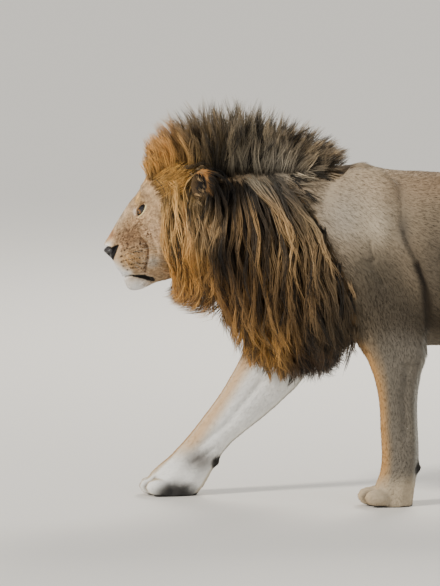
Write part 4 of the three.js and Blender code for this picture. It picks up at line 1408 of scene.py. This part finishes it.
def makeLocks(name, guides, lengths, spacing, depth, normals, uvs, v, material, slot, replaced=()):
    # strands that follow each guide, apart at the root and gathered towards the tip
    count, per, steps = len(guides), v["perLock"], v["steps"]
    lock = np.repeat(np.arange(count), per)
    total = len(lock)
    share = 0.72 + 0.36 * dice.random(total)
    paths = resampled(guides[lock], lengths[lock], spacing[lock], np.minimum(share, 1.0), steps)
    t = np.linspace(0, 1, steps)[None]
    across = unit(np.cross(normals[lock], guides[lock, 3] - guides[lock, 0] + 1e-6))
    along = np.cross(across, normals[lock])
    radius = v["radius"] * np.sqrt(dice.random(total))
    angle = dice.random(total) * 2 * math.pi
    offset = radius[:, None] * (np.cos(angle)[:, None] * across + np.sin(angle)[:, None] * along)
    spreadOut = 1 - v["gather"] * t ** 0.7
    paths = paths + offset[:, None] * spreadOut[:, :, None]
    length = (lengths[lock] * share)[:, None]
    wavelength = 0.15 + 0.08 * dice.random((count, 1))[lock]
    phase = dice.random((count, 1))[lock] * 2 * math.pi + dice.normal(0, 0.5, (total, 1))
    swing = v["wave"] * (0.6 + 0.8 * dice.random((total, 1))) * t
    swing = swing * np.sin(2 * math.pi * t * length / wavelength + phase)
    lift = v["wave"] * 0.6 * dice.normal(0, 1, (total, 1)) * t
    paths = paths + across[:, None] * swing[:, :, None] + normals[lock][:, None] * lift[:, :, None]
    paths[:, :, 2] = np.maximum(paths[:, :, 2], 0.01)
    profile = np.interp(np.linspace(0, 1, steps), [0, 0.3, 0.8, 1], [0.75, 1.0, 0.7, 0.1])
    widths = v["width"] * profile[None] * (0.8 + 0.5 * dice.random((total, 1)))

    flat = paths.reshape(-1, 3)
    tones = blended(flat[:, 0], flat[:, 2], v["tones"]).reshape(total, steps, 3)
    darkShare = v["darkShare"] * (0.25 + 0.75 * ease(guides[:, 3, 0], -0.80, -0.70))
    # dark locks are partly the hair's own dark brown and partly painted shade between the locks; locks deeper in
    # the mane and the roots are darker as painted shade
    lockShade = np.where(dice.random(count) < darkShare, 0.42, 1.0) * np.exp(dice.normal(0, 0.13, count))
    lockShade = lockShade * (0.72 + 0.36 * depth)
    strandShade = np.exp(dice.normal(0, 0.12, total))
    bright = bell(guides[:, 0, 0], guides[:, 0, 2], *brightRoots)[lock, None]
    rootShade = (0.62 + 0.44 * ease(t, 0.0, 0.45)) * (1 - bright) + 1.1 * bright
    tones = tones * (lockShade[lock] * strandShade)[:, None, None] * rootShade[:, :, None]
    tones = tones / np.maximum(1, tones.max(2, keepdims=True) / coatValues["brightest"])
    strandPieces(name, paths, widths, normals[lock], tones, uvs[lock], material, replaced)


hairFinish = {
    "roughness": 0.5, "specular": 0.35, "bump": 0,
    "coat": {"Patch Size": 14.0, "Patch Amount": 0.3, "Speck Size": 160.0, "Speck Amount": 0.3},
}
maneHair = coatMaterial("maneHair", hairFinish)

skinPlaces = headPlaces(skinPoints)
maneRoom = 1 - ease(maneGap, 0.010, 0.022)
topShare = ease(skinNormals[:, 2], 0.45, 0.75) * (np.abs(skinPoints[:, 1]) < 0.052)
topShare = topShare * (skinPoints[:, 2] > 0.98)
crestRoom = maneRoom * topShare * (skinPlaces[:, 0] < 94) * (1 - ease(skinPoints[:, 0], -0.35, -0.29))
sideRoom = maneRoom * (1 - topShare) * (beforeMane(skinPlaces) < 0)
for name, share in (("crest", crestRoom), ("side", sideRoom)):
    v = lockValues[name]
    roots, normals, uvs = spreadOver(skin, v["locks"], share)
    isCrest = np.full(len(roots), name == "crest")
    guides, lengths, depth = maneGuides(roots, normals, isCrest, maneValues)
    fine = lengths > maneValues["shortest"]
    replaced = maneNodes[:1] if name == "crest" else maneNodes[1:]
    spacing = np.full(len(roots), maneValues["step"])
    kept = [values[fine] for values in (guides, lengths, spacing, depth, normals, uvs)]
    makeLocks(f"mane_{name}", *kept, v, maneHair, "mane", replaced)
    report(f"{name} of the mane")


# The lie of the short coat: on the body a place in x and z, a reach, a side (0 for both), and a direction;
# on the face a place in the head, a reach, and a direction forward, up and out.
lieValues = {
    "body": {
        "shoulderTop": ((-0.12, 1.00), 0.12, 0, (0.9, 0, -0.35)),
        "shoulder": ((-0.15, 0.85), 0.12, 0, (0.75, 0, -0.65)),
        "upperArmLeft": ((-0.14, 0.62), 0.10, -1, (0.25, 0, -1)),
        "forearmLeft": ((-0.09, 0.35), 0.12, -1, (0.05, 0, -1)),
        "pawLeft": ((-0.13, 0.06), 0.06, -1, (-0.5, 0, -0.8)),
        "upperArmRight": ((-0.34, 0.62), 0.12, 1, (-0.1, 0, -1)),
        "forearmRight": ((-0.50, 0.40), 0.12, 1, (-0.65, 0, -0.75)),
        "wristRight": ((-0.66, 0.20), 0.10, 1, (-0.6, 0, -0.7)),
        "pawRight": ((-0.82, 0.07), 0.08, 1, (-0.9, 0, -0.3)),
        "backFront": ((0.15, 0.98), 0.15, 0, (1, 0, -0.15)),
        "backRear": ((0.45, 0.98), 0.14, 0, (1, 0, -0.2)),
        "side": ((0.12, 0.78), 0.15, 0, (0.9, 0, -0.4)),
        "belly": ((0.15, 0.58), 0.12, 0, (0.9, 0, -0.25)),
        "flank": ((0.36, 0.75), 0.10, 0, (0.8, 0, -0.6)),
        "haunch": ((0.55, 0.85), 0.12, 0, (0.7, 0, -0.75)),
        "thigh": ((0.56, 0.62), 0.12, 0, (0.35, 0, -1)),
        "seat": ((0.72, 0.90), 0.08, 0, (0.5, 0, -0.9)),
        "shankLeft": ((0.72, 0.42), 0.10, -1, (0.6, 0, -0.8)),
        "hockLeft": ((0.80, 0.20), 0.10, -1, (-0.05, 0, -1)),
        "footLeft": ((0.76, 0.06), 0.08, -1, (-0.5, 0, -0.7)),
        "shankRight": ((0.50, 0.42), 0.10, 1, (0.4, 0, -0.9)),
        "hockRight": ((0.50, 0.20), 0.10, 1, (-0.2, 0, -1)),
        "footRight": ((0.42, 0.06), 0.08, 1, (-0.5, 0, -0.7)),
    },
    "face": {
        "noseTop": ((300, 104, 0), 40, (-1, 0.1, 0.05)),
        "bridge": ((230, 140, 20), 50, (-1, 0.25, 0.15)),
        "forehead": ((140, 185, 20), 60, (-1, 0.35, 0.1)),
        "brow": ((165, 150, 55), 25, (-0.9, 0.5, 0.3)),
        "eyeOuter": ((135, 120, 85), 30, (-1, -0.1, 0.4)),
        "underEye": ((170, 90, 80), 30, (-1, -0.3, 0.3)),
        "cheek": ((150, 40, 105), 50, (-1, -0.5, 0.1)),
        "padTop": ((290, 50, 50), 30, (-1, 0.1, 0.4)),
        "pad": ((285, 10, 58), 30, (-1, -0.35, 0.4)),
        "lip": ((318, -10, 25), 22, (-0.7, -0.6, 0.5)),
        "chin": ((318, -70, 15), 30, (-0.6, -0.8, 0.1)),
        "jaw": ((250, -90, 60), 40, (-1, -0.4, 0.1)),
    },
}


def lieOfCoat(points, normals):
    side = sidesOf(points)
    total = np.zeros_like(points)
    for (atX, atZ), reach, only, direction in lieValues["body"].values():
        weight = np.exp(-((points[:, 0] - atX) ** 2 + (points[:, 2] - atZ) ** 2) / reach ** 2) + 1e-9
        total += (weight * ((only == 0) | (side == only)))[:, None] * np.array(direction)
    onFace = np.zeros_like(points)
    places = headPlaces(points)
    for at, reach, direction in lieValues["face"].values():
        weight = np.exp(-(((places - np.array(at)) / reach) ** 2).sum(1)) + 1e-9
        onFace += weight[:, None] * np.array(direction)
    onFace[:, 2] *= ease(places[:, 2], 0, 18)
    share = faceShare(points)[:, None]
    lie = unit(total) * (1 - share) + headTurn(unit(onFace), side) * share
    lie -= normals * (lie * normals).sum(1)[:, None]
    return unit(lie)


furValues = {
    "bodyTufts": 88000,
    "faceTufts": 26000,
    "turn": 0.10,  # how far a tuft strays from the lie of the coat
    "rise": 0.11,
    "lengths": {"trunk": 0.017, "belly": 0.026, "leg": 0.0125, "paw": 0.009, "face": 0.0080, "cheek": 0.026,
                "edge": 0.030},  # beside the mane
    "slender": 0.085,
    "sunk": 0.0008,
    "tips": (0.97, 0.97, 0.99, 1.05),  # the shade of each corner
    "triangles": [(0, 2, 1), (0, 1, 3), (1, 2, 3), (2, 0, 3)],
    "patch": [(-0.5, -0.5), (0.5, -0.5), (0, -0.3), (0, 0.5)],
}


def tuftLengths(points, normals, v):
    x, y, z = points.T
    length = np.full(len(points), v["trunk"])
    length += (v["belly"] - length) * ease(-normals[:, 2], 0.2, 0.8) * (z > 0.4)
    length += (v["leg"] - length) * (1 - ease(z, 0.42, 0.60))
    legRear = (1 - ease(z, 0.50, 0.62)) * ease(z, 0.30, 0.45) * ease(normals[:, 0], 0.4, 0.9)
    length += (v["belly"] - length) * legRear
    length += (v["paw"] - length) * (1 - ease(z, 0.06, 0.14))
    length += (v["face"] - length) * faceShare(points)
    places = headPlaces(points)
    cheek = (1 - ease(beforeMane(places), 4, 36)) * ease(places[:, 2], 40, 64) * faceShare(points)
    length += (v["cheek"] - length) * cheek
    edge = (1 - ease(nearManeShape(points), 0.015, 0.07)) * (1 - faceShare(points)) * (z > 0.4)
    return length + (v["edge"] - length) * edge


def makeFur(name, count, share, v, material):
    # thin tufts of four faces that lie along the coat
    roots, normals, uvs = spreadOver(skin, count, share)
    tones = coatTones(roots, normals)
    lie = lieOfCoat(roots, normals)
    across = np.cross(normals, lie)
    lie = unit(lie + across * dice.normal(0, v["turn"], (count, 1)))
    across = np.cross(normals, lie)
    length = tuftLengths(roots, normals, v["lengths"]) * (0.7 + 0.6 * dice.random(count))
    length *= ease(roots[:, 2], 0.002, 0.02) * 0.7 + 0.3
    width = length * v["slender"] * (0.8 + 0.5 * dice.random(count))
    rise = v["rise"] * (0.5 + dice.random(count))
    start = roots - normals * v["sunk"]
    points = np.stack([
        start - across * width[:, None] / 2,
        start + across * width[:, None] / 2,
        start + normals * (width * 0.35 + v["sunk"])[:, None] + lie * (length * 0.15)[:, None],
        roots + (lie + normals * rise[:, None]) * length[:, None] * 0.97], 1)
    points[:, :, 2] = np.maximum(points[:, :, 2], 0)
    shade = np.exp(dice.normal(0, 0.07, count))[:, None, None]
    pointTones = tones[:, None] * shade * np.array(v["tips"])[None, :, None]
    triangles, patches = np.array(v["triangles"]), np.array(v["patch"])
    coatPieces(name, points, triangles, pointTones, patches, uvs, material)


furFinish = {
    "roughness": 0.62, "specular": 0.25, "bump": 0,
    "coat": {"Patch Size": 9.0, "Patch Amount": 0.25, "Speck Size": 60.0, "Speck Amount": 0.2},
}
shortHair = coatMaterial("shortHair", furFinish)
skinFace = faceShare(skinPoints)
lidGap, *_, lidDistance = lidPlaces(skinPlaces, eyeValues)
bare = (lidDistance < 36) * (1 - ease(lidGap, 1.5, 3.0))
bare = np.maximum(bare, (nearLine(skinPlaces[:, :2], faceValues["folds"]["mouth"][0]) < 4) * skinFace)
openCoat = (1 - 0.97 * covered) * (1 - bare)
sole = ease(-skinNormals[:, 2], 0.5, 0.8) * (skinPoints[:, 2] < 0.01)
makeFur("bodyFur", furValues["bodyTufts"], openCoat * (1 - skinFace) * (1 - sole), furValues, shortHair)
makeFur("faceFur", furValues["faceTufts"], openCoat * skinFace, furValues, shortHair)
report("short coat")


def freeGuides(roots, first, last, lengths, steps):
    # lines that leave along first and bend towards last
    t = np.linspace(0, 1, steps + 1)
    blend = ease(t, 0, 0.7)[None, :, None]
    heading = unit(first[:, None] * (1 - blend) + last[:, None] * blend)
    moves = heading * (lengths / steps)[:, None, None]
    return roots[:, None] + np.concatenate([np.zeros((len(roots), 1, 3)), np.cumsum(moves, 1)[:, :-1]], 1)


# Loose hair: how many locks and hairs, their length and width, how they leave the skin, and their tones.
# Towards is where they point on the right side, and lift is how far the normal turns that outwards.
looseValues = {
    "forelock": {"locks": 340, "perLock": 9, "steps": 6, "width": 0.0016, "wave": 0.004, "gather": 0.15,
                 "radius": 0.016, "darkShare": 0.12, "length": 0.062, "rise": 0.10, "tone": (226, 172, 88),
                 "towards": headTurn([(-1, -0.08, 0.36)], 1.0)[0], "lift": 0},
    "earHair": {"locks": 36, "perLock": 6, "steps": 5, "width": 0.0013, "wave": 0.003, "gather": 0.4,
                "radius": 0.006, "darkShare": 0.15, "length": 0.040, "rise": 0.6, "tone": (150, 124, 88),
                "towards": (0.5, 0.5, -0.35), "lift": 0},
    "elbowTuft": {"locks": 60, "perLock": 9, "steps": 6, "width": 0.0024, "wave": 0.004, "gather": 0.6,
                  "radius": 0.010, "darkShare": 0.3, "length": 0.070, "rise": 0.5, "tone": (62, 50, 38),
                  "towards": (0.75, 0, -0.5), "lift": 0},
    "tailTuft": {"locks": 170, "perLock": 10, "steps": 7, "width": 0.0028, "wave": 0.006, "gather": 0.6,
                 "radius": 0.011, "darkShare": 0.3, "length": 0.17, "rise": 0.25, "tone": (84, 64, 46),
                 "towards": (0.42, 0, -0.9), "lift": 0.16},
}


def makeLoose(name, share, slot, replaced=(), steps=12):
    v = looseValues[name]
    roots, normals, uvs = spreadOver(skin, v["locks"], share)
    ends = np.array(v["towards"]) * np.stack([np.ones(len(roots)), sidesOf(roots), np.ones(len(roots))], 1)
    ends = unit(ends + normals * v["lift"])
    first = unit(ends * (1 - v["rise"]) + normals * v["rise"])
    lengths = v["length"] * (0.7 + 0.5 * dice.random(len(roots)))
    ends = unit(ends + dice.normal(0, 0.14, ends.shape))
    guides = freeGuides(roots, first, ends, lengths, steps)
    locks = {**v, "tones": {"all": ((0, 0), 9, v["tone"])}}
    depth = dice.random(len(roots))
    makeLocks(name, guides, lengths, lengths / steps, depth, normals, uvs, locks, maneHair, slot, replaced)


skinX, skinY, skinZ = skinPoints.T
forward, up, out = skinPlaces.T
forelock = ease(forward, 30, 46) * (1 - ease(forward, 84, 97)) * ease(up, 104, 142) * ease(out, 24, 44)
makeLoose("forelock", forelock * onHead(skinPoints), "mane")
earFront = (fromEar(skinPoints, earValues["reach"]) < 1.2) * (np.abs(skinY) > earValues["inner"])
makeLoose("earHair", earFront * ease(-skinNormals[:, 0], 0.0, 0.4), "mane")
elbow = bell(skinX, skinZ, (-0.36, 0.42), (0.05, 0.05)) * (skinY > 0) * (skinZ > 0.425)
makeLoose("elbowTuft", elbow * ease(skinNormals[:, 0], 0.2, 0.7), "dark_mane")
tailEnd = (skinX > 0.84) * (1 - ease(skinZ, 0.38, 0.43)) * (np.abs(skinY - 0.046) < 0.05)
makeLoose("tailTuft", tailEnd * (skinZ > 0.2), "dark_mane", ["tail_tuft"])
report("loose hair")

whiskerValues = {"length": (0.07, 0.13), "width": 0.0009, "droop": 0.35, "tone": (204, 194, 172)}


def makeWhiskers(v):
    # one fine hair from each spot of the lower rows
    places = spotPlaces[6::2, :2]
    paths, ups, uvs = [], [], []
    for side in (-1.0, 1.0):
        for forward, up in places:
            start = fromHead([(forward, up, 200)], side)[0]
            towards = fromHead([(forward - 20, up, 0)], side)[0] - start
            root, normal, face, _ = skinTree.ray_cast(Vector(start), Vector(unit(towards)))
            if root is None:
                continue
            length = dice.uniform(*v["length"])
            rear = (304 - forward) / 46
            out = headTurn([(-0.1 - 0.7 * rear, -0.15, 0.8)], side)[0]
            t = np.linspace(0, 1, 9)[:, None]
            path = np.array(root) + unit(out) * length * t - np.array([0, 0, 1]) * v["droop"] * length * t ** 2
            path += np.array([0.25, 0, 0]) * length * t ** 2
            paths.append(path)
            ups.append((0, 0, 1))
            uvs.append(skin.data.uv_layers["OFBake"].uv[skin.data.polygons[face].loop_start].vector)
    paths = np.array(paths)
    widths = v["width"] * np.linspace(1, 0.1, 9)[None] * np.ones((len(paths), 1))
    tones = np.tile(np.array(v["tone"], float), (len(paths), 9, 1))
    strandPieces("whiskers", paths, widths, np.array(ups, float), tones, np.array(uvs), maneHair)


makeWhiskers(whiskerValues)
report("whiskers")

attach(skin, "root")
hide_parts(*fleshNodes)
